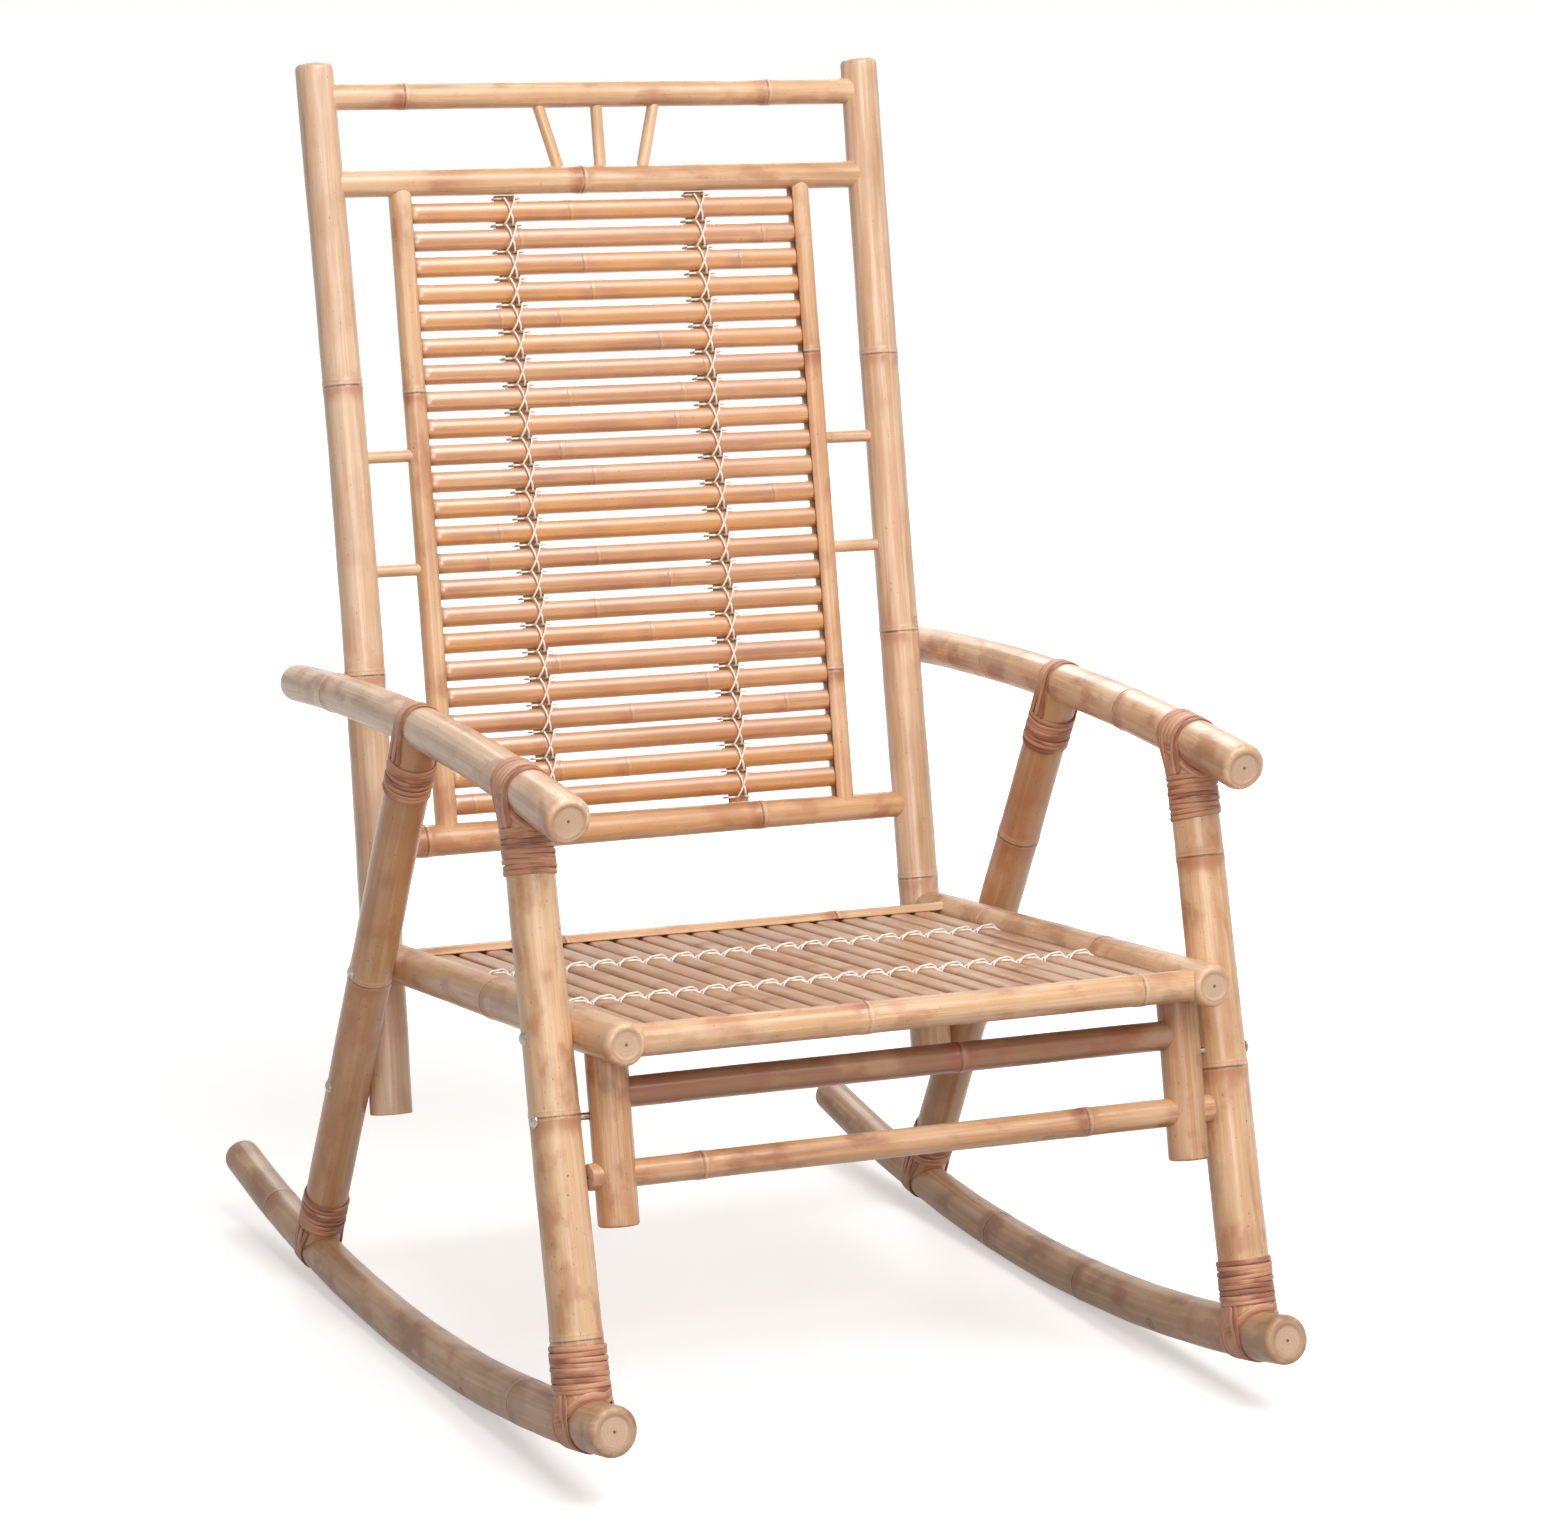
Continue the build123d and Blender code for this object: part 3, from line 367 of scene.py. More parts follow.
# Finishes
@dataclass(frozen=True)
class Skin:
    """The skin of bamboo: long fibres, pale streaks, mottling, specks, node lines, scars and sawn ends."""

    name: str
    base: Colour
    pale: Colour
    dark: Colour
    stain: Colour
    warm: Colour
    roughness: float = 0.42
    coat: float = 0.25
    coat_roughness: float = 0.22
    coat_index: float = 1.5
    streaks: float = 0.75
    fibres: float = 0.4
    mottle: float = 0.4
    specks: float = 0.7
    warmth: float = 0.5
    line: float = 0.75
    # A back slat's paler upper half, and its colour: a painted sheen for the reflection of the light above
    upper_pale: float = 0.0
    sheen: Colour = paint(240, 212, 190)
    sawn: Colour = paint(216, 184, 158)
    sawn_dark: Colour = paint(178, 138, 108)
    mark: Colour = paint(104, 64, 40)
    # The colour of the painted shade in gaps and grooves
    gap: Colour = paint(70, 42, 26)

    def material(self) -> bpy.types.Material:
        """Builds the material.

        Returns:
            The material, which reads the attributes grain, ring, scar, tone and shade.
        """
        tree = Tree(bpy.data.materials.new(self.name))
        grain = tree.field("grain", "Vector")
        tone = tree.field("tone", "Fac")
        near = tree.node("ShaderNodeSeparateXYZ", {}, {0: tree.field("ring", "Vector")})
        side = near.sibling(1)
        cap = near.sibling(2)
        scar = tree.vector("LENGTH", tree.field("scar", "Vector"), output="Value")
        place = tree.shifted(grain, tone, (3.7, 5.9, 8.3))
        fibre = tree.noise(place, FIBRE_WAVES, 3.0)
        streak = tree.noise(place, STREAK_WAVES, 2.0)
        sweep = tree.noise(place, SWEEP_WAVES, 3.0)
        patch = tree.noise(place, PATCH_WAVES, 4.0)
        cloud = tree.noise(place, CLOUD_WAVES, 5.0)
        speck = tree.noise(place, SPECK_WAVES, 2.0)

        # Streaks, fibres, mottling and specks
        colour = tree.mix(streak.rise(0.44, 0.68) * self.streaks, self.base, self.pale)
        colour = tree.mix(tone.rise(0.3, 0.0) * 0.5, colour, self.pale)
        # High tones lean to the warm colour. The darker rear legs and upper stretcher are partly their own
        # colour and partly painted shade under the seat
        colour = tree.mix(tone.rise(0.45, 1.0) * self.warmth, colour, self.warm)
        colour = tree.mix(sweep.rise(0.52, 0.74) * (self.fibres + 0.15), colour, self.dark)
        colour = tree.mix(fibre.rise(0.5, 0.78) * self.fibres, colour, self.dark)
        colour = tree.mix(patch.rise(0.5, 0.66) * self.mottle, colour, self.stain)
        colour = tree.mix(cloud.rise(0.5, 0.66) * self.mottle * 0.55, colour, self.dark)
        colour = tree.mix(cloud.rise(0.48, 0.36) * self.mottle * 0.5, colour, self.pale)
        colour = tree.mix(speck.rise(0.7, 0.76) * self.specks, colour, self.mark)

        # The line, the pale and stained bands and the blush at node rings
        broken = (patch + fibre).rise(0.72, 1.05) * 0.6 + 0.4
        groove = near.rise(0.0016, 0.0004) * self.line * (sweep.rise(0.3, 0.55) * 0.6 + 0.4)
        above = side.rise(0.1, 0.9) * near.rise(0.0085, 0.0025)
        below = side.rise(-0.1, -0.9) * near.rise(0.019, 0.003)
        blush = near.rise(0.015, 0.005) * (patch + streak * 0.5).rise(0.6, 0.95)
        crest = side.rise(0.2, 0.9) * near.rise(0.0034, 0.0042) * near.rise(0.0058, 0.0048)
        colour = tree.mix(above * 0.35, colour, self.pale)
        colour = tree.mix(below * patch.rise(0.3, 0.55) * 0.85, colour, self.stain)
        colour = tree.mix(blush * 0.6 * self.line, colour, self.stain)
        colour = tree.mix(crest * broken * 0.3, colour, self.dark)
        colour = tree.mix(groove * broken, colour, self.mark)

        # Scars
        rim = scar.rise(0.7, 0.95) * scar.rise(1.3, 1.05)
        eye = scar.rise(0.45, 0.1)
        colour = tree.mix(scar.rise(1.6, 0.8) * 0.4, colour, self.stain)
        colour = tree.mix(rim * broken * 0.8, colour, self.mark)
        colour = tree.mix(eye * 0.75, colour, self.mark)

        # A painted sheen: the upper half of a back slat is paler, standing in for the reflection of the
        # light above
        upper = tree.node("ShaderNodeSeparateXYZ", {}, {0: grain}).rise(0.0005, 0.0055)
        colour = tree.mix(upper * (sweep.rise(0.25, 0.6) * 0.5 + 0.5) * self.upper_pale, colour, self.sheen)

        # Sawn ends with their pith hole, and painted shade in gaps and grooves
        across = tree.vector("LENGTH", tree.vector("MULTIPLY", grain, (1.0, 1.0, 0.0)), output="Value")
        wave = across.maths("SINE", across * SAW_WAVES + sweep * 14.0)
        ends = tree.mix(wave.rise(0.2, 1.0) * 0.14, self.sawn, self.sawn_dark)
        ends = tree.mix(fibre.rise(0.45, 0.75) * 0.3, ends, self.sawn_dark)
        ends = tree.mix(across.rise(0.0105, 0.0135) * 0.35, ends, self.dark)
        ends = tree.mix(patch.rise(0.5, 0.8) * 0.4, ends, self.stain)
        pith = across.rise(0.0019, 0.0009) * cap.rise(0.8, 0.95)
        ends = tree.mix(pith * 0.85, ends, self.mark)
        colour = tree.mix(cap.rise(0.15, 0.5), colour, ends)
        colour = tree.mix(tree.field("shade", "Fac"), colour, self.gap)

        uneven = (fibre - 0.5) * 0.22 + (patch - 0.5) * 0.25 + cap * 0.25 + (scar.rise(1.4, 0.9) * 0.1)
        height = fibre * 0.34 + streak * 0.3 - groove * 1.1 - eye * 0.8 + rim * 0.35 + crest * 0.25
        inputs = {"Base Color": colour, "Roughness": uneven + self.roughness,
                  "Normal": tree.bump(0.55, 0.0005, height),
                  "Coat Weight": self.coat * (1.0 - cap.rise(0.1, 0.6)),
                  "Coat Roughness": self.coat_roughness, "Coat IOR": self.coat_index}
        return tree.finish(tree.node("ShaderNodeBsdfPrincipled", {}, inputs))


@dataclass(frozen=True)
class Strand:
    """Bark-side cane: long fine fibres along the strand and a slow change of tone."""

    name: str
    base: Colour
    pale: Colour
    dark: Colour
    roughness: float = 0.5

    def material(self) -> bpy.types.Material:
        """Builds the material.

        Returns:
            The material, which reads the attributes grain and tone.
        """
        tree = Tree(bpy.data.materials.new(self.name))
        tone = tree.field("tone", "Fac")
        place = tree.shifted(tree.field("grain", "Vector"), tone, (1.7, 2.9, 4.3))
        fibre = tree.noise(place, CANE_FIBRE_WAVES, 3.0)
        slow = tree.noise(place, CANE_SLOW_WAVES, 3.0)
        colour = tree.mix(slow.rise(0.38, 0.56), self.dark, self.base)
        colour = tree.mix((fibre + tone * 0.2 + slow * 0.3).rise(0.68, 0.95) * 0.8, colour, self.pale)
        inputs = {"Base Color": colour, "Roughness": fibre * 0.25 + (self.roughness - 0.12),
                  "Normal": tree.bump(0.5, 0.0003, fibre), "Coat Weight": 0.15, "Coat Roughness": 0.3}
        return tree.finish(tree.node("ShaderNodeBsdfPrincipled", {}, inputs))


@dataclass(frozen=True)
class Plain:
    """A finish on Object coordinates for small trim: cord, split battens and metal."""

    name: str
    base: Colour
    dark: Colour
    stretch: Point
    roughness: float
    metallic: float = 0.0
    relief: float = 0.0002

    def material(self) -> bpy.types.Material:
        """Builds the material.

        Returns:
            The material, which reads Object coordinates.
        """
        tree = Tree(bpy.data.materials.new(self.name))
        place = tree.node("ShaderNodeTexCoord", {}, {}, "Object")
        fine = tree.noise(place, self.stretch, 3.0)
        slow = tree.noise(place, TRIM_SLOW_WAVES, 2.0)
        colour = tree.mix(fine.rise(0.45, 0.72) * 0.6 + slow.rise(0.45, 0.7) * 0.3, self.base, self.dark)
        inputs = {"Base Color": colour, "Roughness": fine * 0.2 + (self.roughness - 0.1),
                  "Metallic": self.metallic, "Normal": tree.bump(0.5, self.relief, fine)}
        return tree.finish(tree.node("ShaderNodeBsdfPrincipled", {}, inputs))


class Finish(Enum):
    """The finishes, by the record's material slots."""

    POST = "bamboo_post"
    ROCKER = "bamboo_rocker"
    ARM = "bamboo_arm"
    LEG = "bamboo_leg"
    RAIL = "bamboo_rail"
    STRETCHER = "bamboo_stretcher"
    BACK_SLAT = "bamboo_back_slat"
    SEAT_SLAT = "bamboo_seat_slat"
    BATTEN = "bamboo_batten"
    CANE = "cane"
    CORD = "cord"
    STEEL = "bolt_steel"
    BRASS = "insert_brass"


FINISHES = {
    Finish.POST: Skin("post_skin", paint(221, 179, 141), paint(241, 213, 185), paint(180, 129, 91),
                      paint(200, 146, 114), paint(222, 174, 126), coat=0.45, mottle=0.3),
    Finish.ROCKER: Skin("rocker_skin", paint(190, 150, 115), paint(214, 180, 146), paint(136, 96, 67),
                        paint(158, 110, 80), paint(184, 142, 101), coat=0.2, roughness=0.48, mottle=0.8),
    Finish.ARM: Skin("arm_skin", paint(230, 192, 156), paint(247, 224, 196), paint(172, 126, 91),
                     paint(186, 130, 100), paint(222, 180, 134), coat=0.35, roughness=0.43, mottle=0.75,
                     specks=1.0),
    # Its warm colour darkens the rear legs: partly their own colour, partly painted shade under the seat
    Finish.LEG: Skin("leg_skin", paint(222, 178, 136), paint(238, 205, 168), paint(178, 126, 84),
                     paint(190, 132, 96), paint(176, 124, 82), coat=0.3, mottle=0.7, warmth=0.6,
                     specks=1.0),
    Finish.RAIL: Skin("rail_skin", paint(225, 178, 133), paint(243, 214, 181), paint(176, 120, 78),
                      paint(178, 110, 76), paint(210, 152, 98), coat=0.45, mottle=0.5),
    # Its dark warm colour darkens the upper stretcher: partly its own colour, partly painted shade under the
    # seat
    Finish.STRETCHER: Skin("stretcher_skin", paint(206, 156, 113), paint(228, 190, 153),
                           paint(150, 92, 58), paint(156, 92, 64), paint(122, 76, 50), coat=0.35,
                           mottle=0.65, warmth=0.85),
    # The back slats' paler upper halves are a painted sheen
    Finish.BACK_SLAT: Skin("back_slat_skin", paint(196, 131, 70), paint(222, 168, 114), paint(158, 90, 40),
                           paint(184, 112, 62), paint(214, 142, 54), coat=1.0, coat_roughness=0.3,
                           coat_index=1.9, roughness=0.38, fibres=0.55, warmth=0.9, line=0.4,
                           upper_pale=0.36),
    Finish.SEAT_SLAT: Skin("seat_slat_skin", paint(200, 154, 116), paint(219, 184, 150), paint(150, 102, 68),
                           paint(176, 124, 94), paint(194, 146, 100), coat=0.3, roughness=0.42,
                           line=0.4),
    Finish.BATTEN: Plain("split_batten", paint(192, 144, 100), paint(140, 96, 62), (900.0, 60.0, 60.0),
                         0.6),
    Finish.CANE: Strand("cane_strand", paint(200, 143, 110), paint(230, 186, 156), paint(148, 88, 64)),
    Finish.CORD: Plain("cotton_cord", paint(253, 250, 242), paint(230, 219, 200), (1500.0, 1500.0, 1500.0),
                       0.75),
    Finish.STEEL: Plain("bolt_steel", paint(168, 158, 148), paint(96, 84, 74), (300.0, 300.0, 300.0), 0.3,
                        1.0, 0.00005),
    Finish.BRASS: Plain("insert_brass", paint(206, 166, 92), paint(150, 112, 52), (300.0, 300.0, 300.0),
                        0.35, 1.0, 0.00005),
}


class Workshop:
    """Makes each finish once and turns grids into pieces that wear it."""

    def __init__(self, frame: dict, box: tuple) -> None:
        """Starts with no materials made.

        Args:
            frame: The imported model.
            box: Its lowest and highest corners.
        """
        self.frame = frame
        self.box = box
        self.materials: dict[Finish, bpy.types.Material] = {}

    def material(self, finish: Finish) -> bpy.types.Material:
        """The material of a finish."""
        if finish not in self.materials:
            self.materials[finish] = FINISHES[finish].material()
        return self.materials[finish]

    def place(self, piece: bpy.types.Object, finish: Finish, *nodes: str) -> None:
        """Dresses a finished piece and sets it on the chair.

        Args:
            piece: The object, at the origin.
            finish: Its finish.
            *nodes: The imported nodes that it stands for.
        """
        piece.data.materials.clear()
        piece.data.materials.append(self.material(finish))
        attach(piece, BODY)
        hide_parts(*nodes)
        log.info("%s: %d faces for %s", piece.name, len(piece.data.polygons), ", ".join(nodes))

    def carry_over(self, node: str, finish: Finish) -> None:
        """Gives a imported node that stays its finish."""
        piece = self.frame["nodes"][node]
        piece.data.materials.clear()
        piece.data.materials.append(self.material(finish))
        log.info("%s: carried over", node)


class Shell:
    """Closed grids gathered into one mesh, with the values that the finishes read."""

    def __init__(self) -> None:
        """Starts empty."""
        self.points: list[Array] = []
        self.fields: dict[str, list[Array]] = {}
        self.corners: list[Array] = []
        self.sizes: list[Array] = []
        self.count = 0

    def add(self, points: Array, fields: dict[str, Array]) -> None:
        """Adds a grid that closes round its columns, with its first and last rows drawn into poles.

        Args:
            points: Rows by columns by 3.
            fields: Values by name, rows by columns, with a last axis of 3 for vectors.
        """
        rows, columns = points.shape[:2]

        def gathered(values: Array) -> Array:
            """The inner rows as one list, followed by the two poles' mean values."""
            body = values[1:-1].reshape((rows - 2) * columns, -1)
            return np.concatenate([body, values[[0, -1]].reshape(2, columns, -1).mean(axis=1)])

        index = np.arange((rows - 2) * columns).reshape(rows - 2, columns) + self.count
        following = np.roll(index, -1, axis=1)
        quads = np.stack([index[:-1], following[:-1], following[1:], index[1:]], axis=-1).reshape(-1, 4)
        first = np.full(columns, self.count + (rows - 2) * columns)
        start_fan = np.stack([first, following[0], index[0]], axis=-1)
        end_fan = np.stack([first + 1, index[-1], following[-1]], axis=-1)
        self.corners += [quads.ravel(), start_fan.ravel(), end_fan.ravel()]
        self.sizes += [np.full(len(quads), 4), np.full(2 * columns, 3)]
        self.points.append(gathered(points))
        for name, values in fields.items():
            self.fields.setdefault(name, []).append(gathered(values))
        self.count += (rows - 2) * columns + 2

    def join(self, other: "Shell") -> None:
        """Takes in another shell's grids after its own."""
        self.points += other.points
        for name, parts in other.fields.items():
            self.fields.setdefault(name, []).extend(parts)
        self.corners += [corners + self.count for corners in other.corners]
        self.sizes += other.sizes
        self.count += other.count

    def piece(self, name: str, box: tuple) -> bpy.types.Object:
        """The mesh as an object at the origin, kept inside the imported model's box.

        Args:
            name: The piece's name.
            box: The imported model's lowest and highest corners.

        Returns:
            The object.
        """
        low, high = (np.array(corner) for corner in box)
        points = np.clip(np.concatenate(self.points), low + BOX_MARGIN, high - BOX_MARGIN)
        corners = np.concatenate(self.corners)
        sizes = np.concatenate(self.sizes)
        mesh = bpy.data.meshes.new(name)
        mesh.vertices.add(len(points))
        mesh.vertices.foreach_set("co", points.astype(np.float32).ravel())
        mesh.loops.add(len(corners))
        mesh.loops.foreach_set("vertex_index", corners.astype(np.int32))
        mesh.polygons.add(len(sizes))
        starts = np.concatenate([[0], np.cumsum(sizes)[:-1]]).astype(np.int32)
        mesh.polygons.foreach_set("loop_start", starts)
        mesh.update(calc_edges=True)
        mesh.polygons.foreach_set("use_smooth", np.ones(len(sizes), bool))
        for field_name, parts in self.fields.items():
            values = np.concatenate(parts).astype(np.float32)
            vector = values.shape[1] == 3
            made = mesh.attributes.new(field_name, "FLOAT_VECTOR" if vector else "FLOAT", "POINT")
            made.data.foreach_set("vector" if vector else "value", values.ravel())
        piece = bpy.data.objects.new(name, mesh)
        bpy.context.scene.collection.objects.link(piece)
        return piece


# Culms
def ring_field(along: Array, rings: Array, sawn: Array) -> Array:
    """The ring attribute: distance to the nearest node ring, its side, and how far the place is sawn.

    Args:
        along: Distances along the piece.
        rings: The node rings' places.
        sawn: How far each point is on a sawn face.

    Returns:
        The values, with a last axis of 3.
    """
    apart = along[..., None] - rings
    nearest = np.argmin(np.abs(apart), axis=-1)
    signed = np.take_along_axis(apart, nearest[..., None], axis=-1)[..., 0]
    return np.stack([np.minimum(np.abs(signed), FAR_RING), np.clip(signed / RING_SIDE, -1.0, 1.0), sawn],
                    axis=-1)


@dataclass(frozen=True)
class Saddle:
    """The round seat of a culm's end against a culm that it meets in the side view's plane."""

    radius: float
    direction: Point
    aside: float = 0.0
    sunk: float = 0.0012

    def reach(self, culm_radius: float, angles: Array, along: Array, second: Array, sign: float) -> Array:
        """How far from the meeting point the culm's surface reaches the other one's surface.

        In the plane square to the other culm, the surface stands off its axis by the root of the squared
        radius less the squared sideways place.

        Args:
            culm_radius: The radius of the culm that ends here.
            angles: The columns' angles, from the sideways direction.
            along: The culm's direction.
            second: The culm's second cross direction.
            sign: 1 at the culm's start and -1 at its end.

        Returns:
            The distances, one for each column.
        """
        normal = unit(np.cross(RIGHTWARD, np.array(self.direction)))
        normal = normal * np.sign(normal @ along)
        sideways = culm_radius * np.cos(angles) + self.aside
        standing = np.sqrt(np.maximum(self.radius ** 2 - sideways ** 2, 0.0)) - self.sunk
        return (standing - sign * (normal @ second) * culm_radius * np.sin(angles)) / (normal @ along)


@dataclass
class Culm:
    """A straight culm with node rings, rounded or seated ends, scars and a slight natural bend."""

    name: str
    node: str
    finish: Finish
    start: Point
    end: Point
    radii: tuple[float, float]
    rings: tuple[float, ...] = ()
    rims: tuple[float, float] = (0.0008, 0.0008)
    scars: tuple[tuple[float, float, float], ...] = ()
    bend: Point = (0.0, 0.0, 0.0)
    saddles: tuple[Saddle | None, Saddle | None] = (None, None)
    groove: "Groove | None" = None
    ridge: float = 0.0008
    reference: Point = (1.0, 0.0, 0.0)
    tone: float = 0.3
    blend_length: float = 0.045
    dish: float = 0.0008

    @property
    def length(self) -> float:
        """The distance from end to end."""
        return float(np.linalg.norm(np.array(self.end) - np.array(self.start)))

    def centres(self, along: Array) -> Array:
        """Axis points: the straight line from end to end, and half a sine wave of bend aside."""
        share = (along / self.length)[..., None]
        line = np.array(self.start) + (np.array(self.end) - np.array(self.start)) * share
        return line + np.array(self.bend) * np.sin(np.pi * np.clip(share, 0.0, 1.0))

    def radius(self, along: Array) -> Array:
        """Radii, tapering evenly."""
        return self.radii[0] + (self.radii[1] - self.radii[0]) * along / self.length

    def section(self) -> Array:
        """The outline's columns for a radius of 1: a circle, or one with a groove."""
        if self.groove is not None:
            return self.groove.outline(self.radii[0])
        angles = np.arange(ROUND_COLUMNS) * 2 * np.pi / ROUND_COLUMNS
        return np.stack([np.cos(angles), np.sin(angles)], axis=-1)

    def rows(self, first: float, last: float) -> tuple[Array, Array, Array, Array]:
        """The grid's rows from pole to pole.

        A rim follows a quarter circle. A large rim stands a little proud of the sawn face inside it.

        Args:
            first: Where the skin starts along the axis.
            last: Where it ends.

        Returns:
            Distances, insets of the rim, shares of the radius, and how far each row is sawn.
        """
        dish = smooth_share((0.93 - CAP_SHARES) / 0.13) * self.dish
        body = np.arange(first + self.rims[0], last - self.rims[1], BODY_STEP)
        for ring in self.rings:
            body = np.concatenate([body, ring + NODE_OFFSETS, ring - NODE_OFFSETS])
        for place, _, size in self.scars:
            body = np.concatenate([body, place + size * np.linspace(-1.8, 1.8, 13)])
        body = np.unique(np.clip(body, first + self.rims[0], last - self.rims[1]))
        body = body[np.concatenate([[True], np.diff(body) > LEAST_STEP])]
        rise, drop = 1.0 - np.cos(RIM_ARC), 1.0 - np.sin(RIM_ARC)
        deep = [dish if rim > LARGE_RIM else 0.0 * dish for rim in self.rims]
        along = np.concatenate([first + deep[0], first + self.rims[0] * rise, body,
                                last - self.rims[1] * rise[::-1], last - deep[1][::-1]])
        whole_cap = np.ones(len(CAP_SHARES))
        inset = np.concatenate([whole_cap * self.rims[0], self.rims[0] * drop, np.zeros(len(body)),
                                self.rims[1] * drop[::-1], whole_cap * self.rims[1]])
        share = np.concatenate([CAP_SHARES, np.ones(len(along) - 2 * len(CAP_SHARES)), CAP_SHARES[::-1]])
        sawn = np.concatenate([whole_cap, RIM_SAWN, np.zeros(len(body)), RIM_SAWN[::-1], whole_cap])
        return along, inset, share, sawn

    def ring_height(self, along: Array) -> Array:
        """The skin's rise at the node rings: a wide swelling, a crest above it and a narrow groove."""
        height = np.zeros_like(along)
        for ring in self.rings:
            for share, beyond, half_width in RING_WAVES:
                height += self.ridge * share * np.exp(-((along - ring - beyond) / half_width) ** 2)
        return height

    def frames(self, along: Array) -> tuple[Array, Array, Array]:
        """The axis's direction and two cross directions at distances along it."""
        step = 0.001
        direction = unit(self.centres(along + step) - self.centres(along - step))
        reference = np.array(self.reference)
        across = unit(reference - (direction @ reference)[..., None] * direction)
        return direction, across, np.cross(direction, across)

    def fields(self, along: Array, first: Array, second: Array, sawn: Array) -> dict[str, Array]:
        """The values that the finishes read.

        Args:
            along: Distances along the axis.
            first: Places in the first cross direction.
            second: Places in the second cross direction.
            sawn: How far each point is on a sawn face.

        Returns:
            grain, ring, scar, tone and shade, by name.
        """
        grain = np.stack([first, second, along], axis=-1)
        ring = ring_field(along, np.array(self.rings if self.rings else (-1.0,)), sawn)
        scar = np.full(grain.shape, FAR_SCAR)
        for place, turn, size in self.scars:
            radius = self.radius(np.array(place))
            centre = np.array([radius * math.cos(turn), radius * math.sin(turn), place])
            relative = (grain - centre) / size
            close = np.linalg.norm(relative, axis=-1) < FAR_SCAR
            scar[close] = relative[close]
        # Painted shade: the inside of a groove is darkened, for the shade that falls in it
        shade = np.zeros(along.shape)
        if self.groove is not None:
            shade[:] = 0.85 * (np.hypot(first, second) < 0.86 * self.radius(along)) * (sawn < 0.5)
        return {"grain": grain, "ring": ring, "scar": scar, "tone": np.full(along.shape, self.tone),
                "shade": shade}

    def grid(self) -> tuple[Array, dict[str, Array]]:
        """The culm's surface: its axis, plus its outline times the radius in the two cross directions.

        Returns:
            Points, rows by columns by 3, and the finish's values.
        """
        outline = self.section()
        angles = np.arctan2(outline[:, 1], outline[:, 0])
        whole = np.array([0.0, self.length])
        direction, _, second = self.frames(whole)
        shifts = []
        limits = []
        for place, saddle, sign in ((0, self.saddles[0], 1.0), (1, self.saddles[1], -1.0)):
            if saddle is None:
                limits.append(whole[place])
                shifts.append(np.zeros(len(angles)))
            else:
                reach = saddle.reach(self.radii[place], angles, direction[place], second[place], sign)
                limits.append(whole[place] + sign * reach.mean())
                shifts.append(sign * (reach - reach.mean()))
        rows, inset, share, sawn = self.rows(*limits)
        near_start = np.clip(1.0 - (rows - limits[0]) / self.blend_length, 0.0, 1.0)[:, None] ** 2
        near_end = np.clip(1.0 - (limits[1] - rows) / self.blend_length, 0.0, 1.0)[:, None] ** 2
        along = rows[:, None] + near_start * shifts[0] + near_end * shifts[1]
        phase = self.tone * 40.0
        oval = 0.012 * np.cos(2.0 * angles + phase) + 0.007 * np.sin(3.0 * angles + 2.0 * phase)
        waves = 0.007 * np.sin(along * 37.0 + phase + angles) + 0.004 * np.sin(along * 91.0 - phase)
        radius = self.radius(along) * (1.0 + oval + waves) - inset[:, None] + self.ring_height(along)
        radius = radius * share[:, None]
        first = radius * outline[:, 0]
        second_place = radius * outline[:, 1]
        _, across, upward = self.frames(along)
        points = self.centres(along) + first[..., None] * across + second_place[..., None] * upward
        return points, self.fields(along, first, second_place, np.broadcast_to(sawn[:, None], along.shape))

    def build(self, shop: Workshop) -> None:
        """Makes the culm's piece."""
        shell = Shell()
        shell.add(*self.grid())
        shop.place(shell.piece(self.name, shop.box), self.finish, self.node)


@dataclass(frozen=True)
class Groove:
    """A groove along a culm, which slat ends go into."""

    turn: float
    half_width: float
    depth: float
    aside: float

    def outline(self, radius: float) -> Array:
        """A circle with the groove, for a radius of 1.

        Args:
            radius: The culm's radius.

        Returns:
            The columns, counter-clockwise.
        """
        low = (self.aside - self.half_width) / radius
        high = (self.aside + self.half_width) / radius
        floor = 1.0 - self.depth / radius
        angles = np.linspace(math.asin(high), 2 * math.pi + math.asin(low), ROUND_COLUMNS)
        arc = np.stack([np.cos(angles), np.sin(angles)], axis=-1)
        lip = 0.06
        low_wall = [(math.cos(math.asin(low)) - lip, low), (floor + lip, low), (floor, low + lip)]
        high_wall = [(floor, high - lip), (floor + lip, high), (math.cos(math.asin(high)) - lip, high)]
        ring = np.concatenate([arc, np.array(low_wall + high_wall)])
        turned = np.array([[math.cos(self.turn), math.sin(self.turn)],
                           [-math.sin(self.turn), math.cos(self.turn)]])
        return ring @ turned


@dataclass
class Bow(Culm):
    """A culm bent in the side view along an arc about a centre."""

    centre_y: float = 0.0
    centre_z: float = 0.0
    arc_radius: float = 1.0
    sole: bool = False

    @property
    def length(self) -> float:
        """The distance from end to end along Y."""
        return self.end[1] - self.start[1]

    def centres(self, along: Array) -> Array:
        """Axis points at distances along Y.

        An arm's axis is the arc itself. A rocker's axis lies a radius above its sole's arc: its height is
        the centre's, less the arc's rise, plus the radius over the cosine of the arc's slope.
        """
        back = self.start[1] + along
        rise = np.sqrt(self.arc_radius ** 2 - (back - self.centre_y) ** 2)
        if self.sole:
            height = self.centre_z - rise + self.radius(along) * self.arc_radius / rise
        else:
            height = self.centre_z + rise
        return np.stack([np.full(back.shape, self.start[0]), back, height], axis=-1)


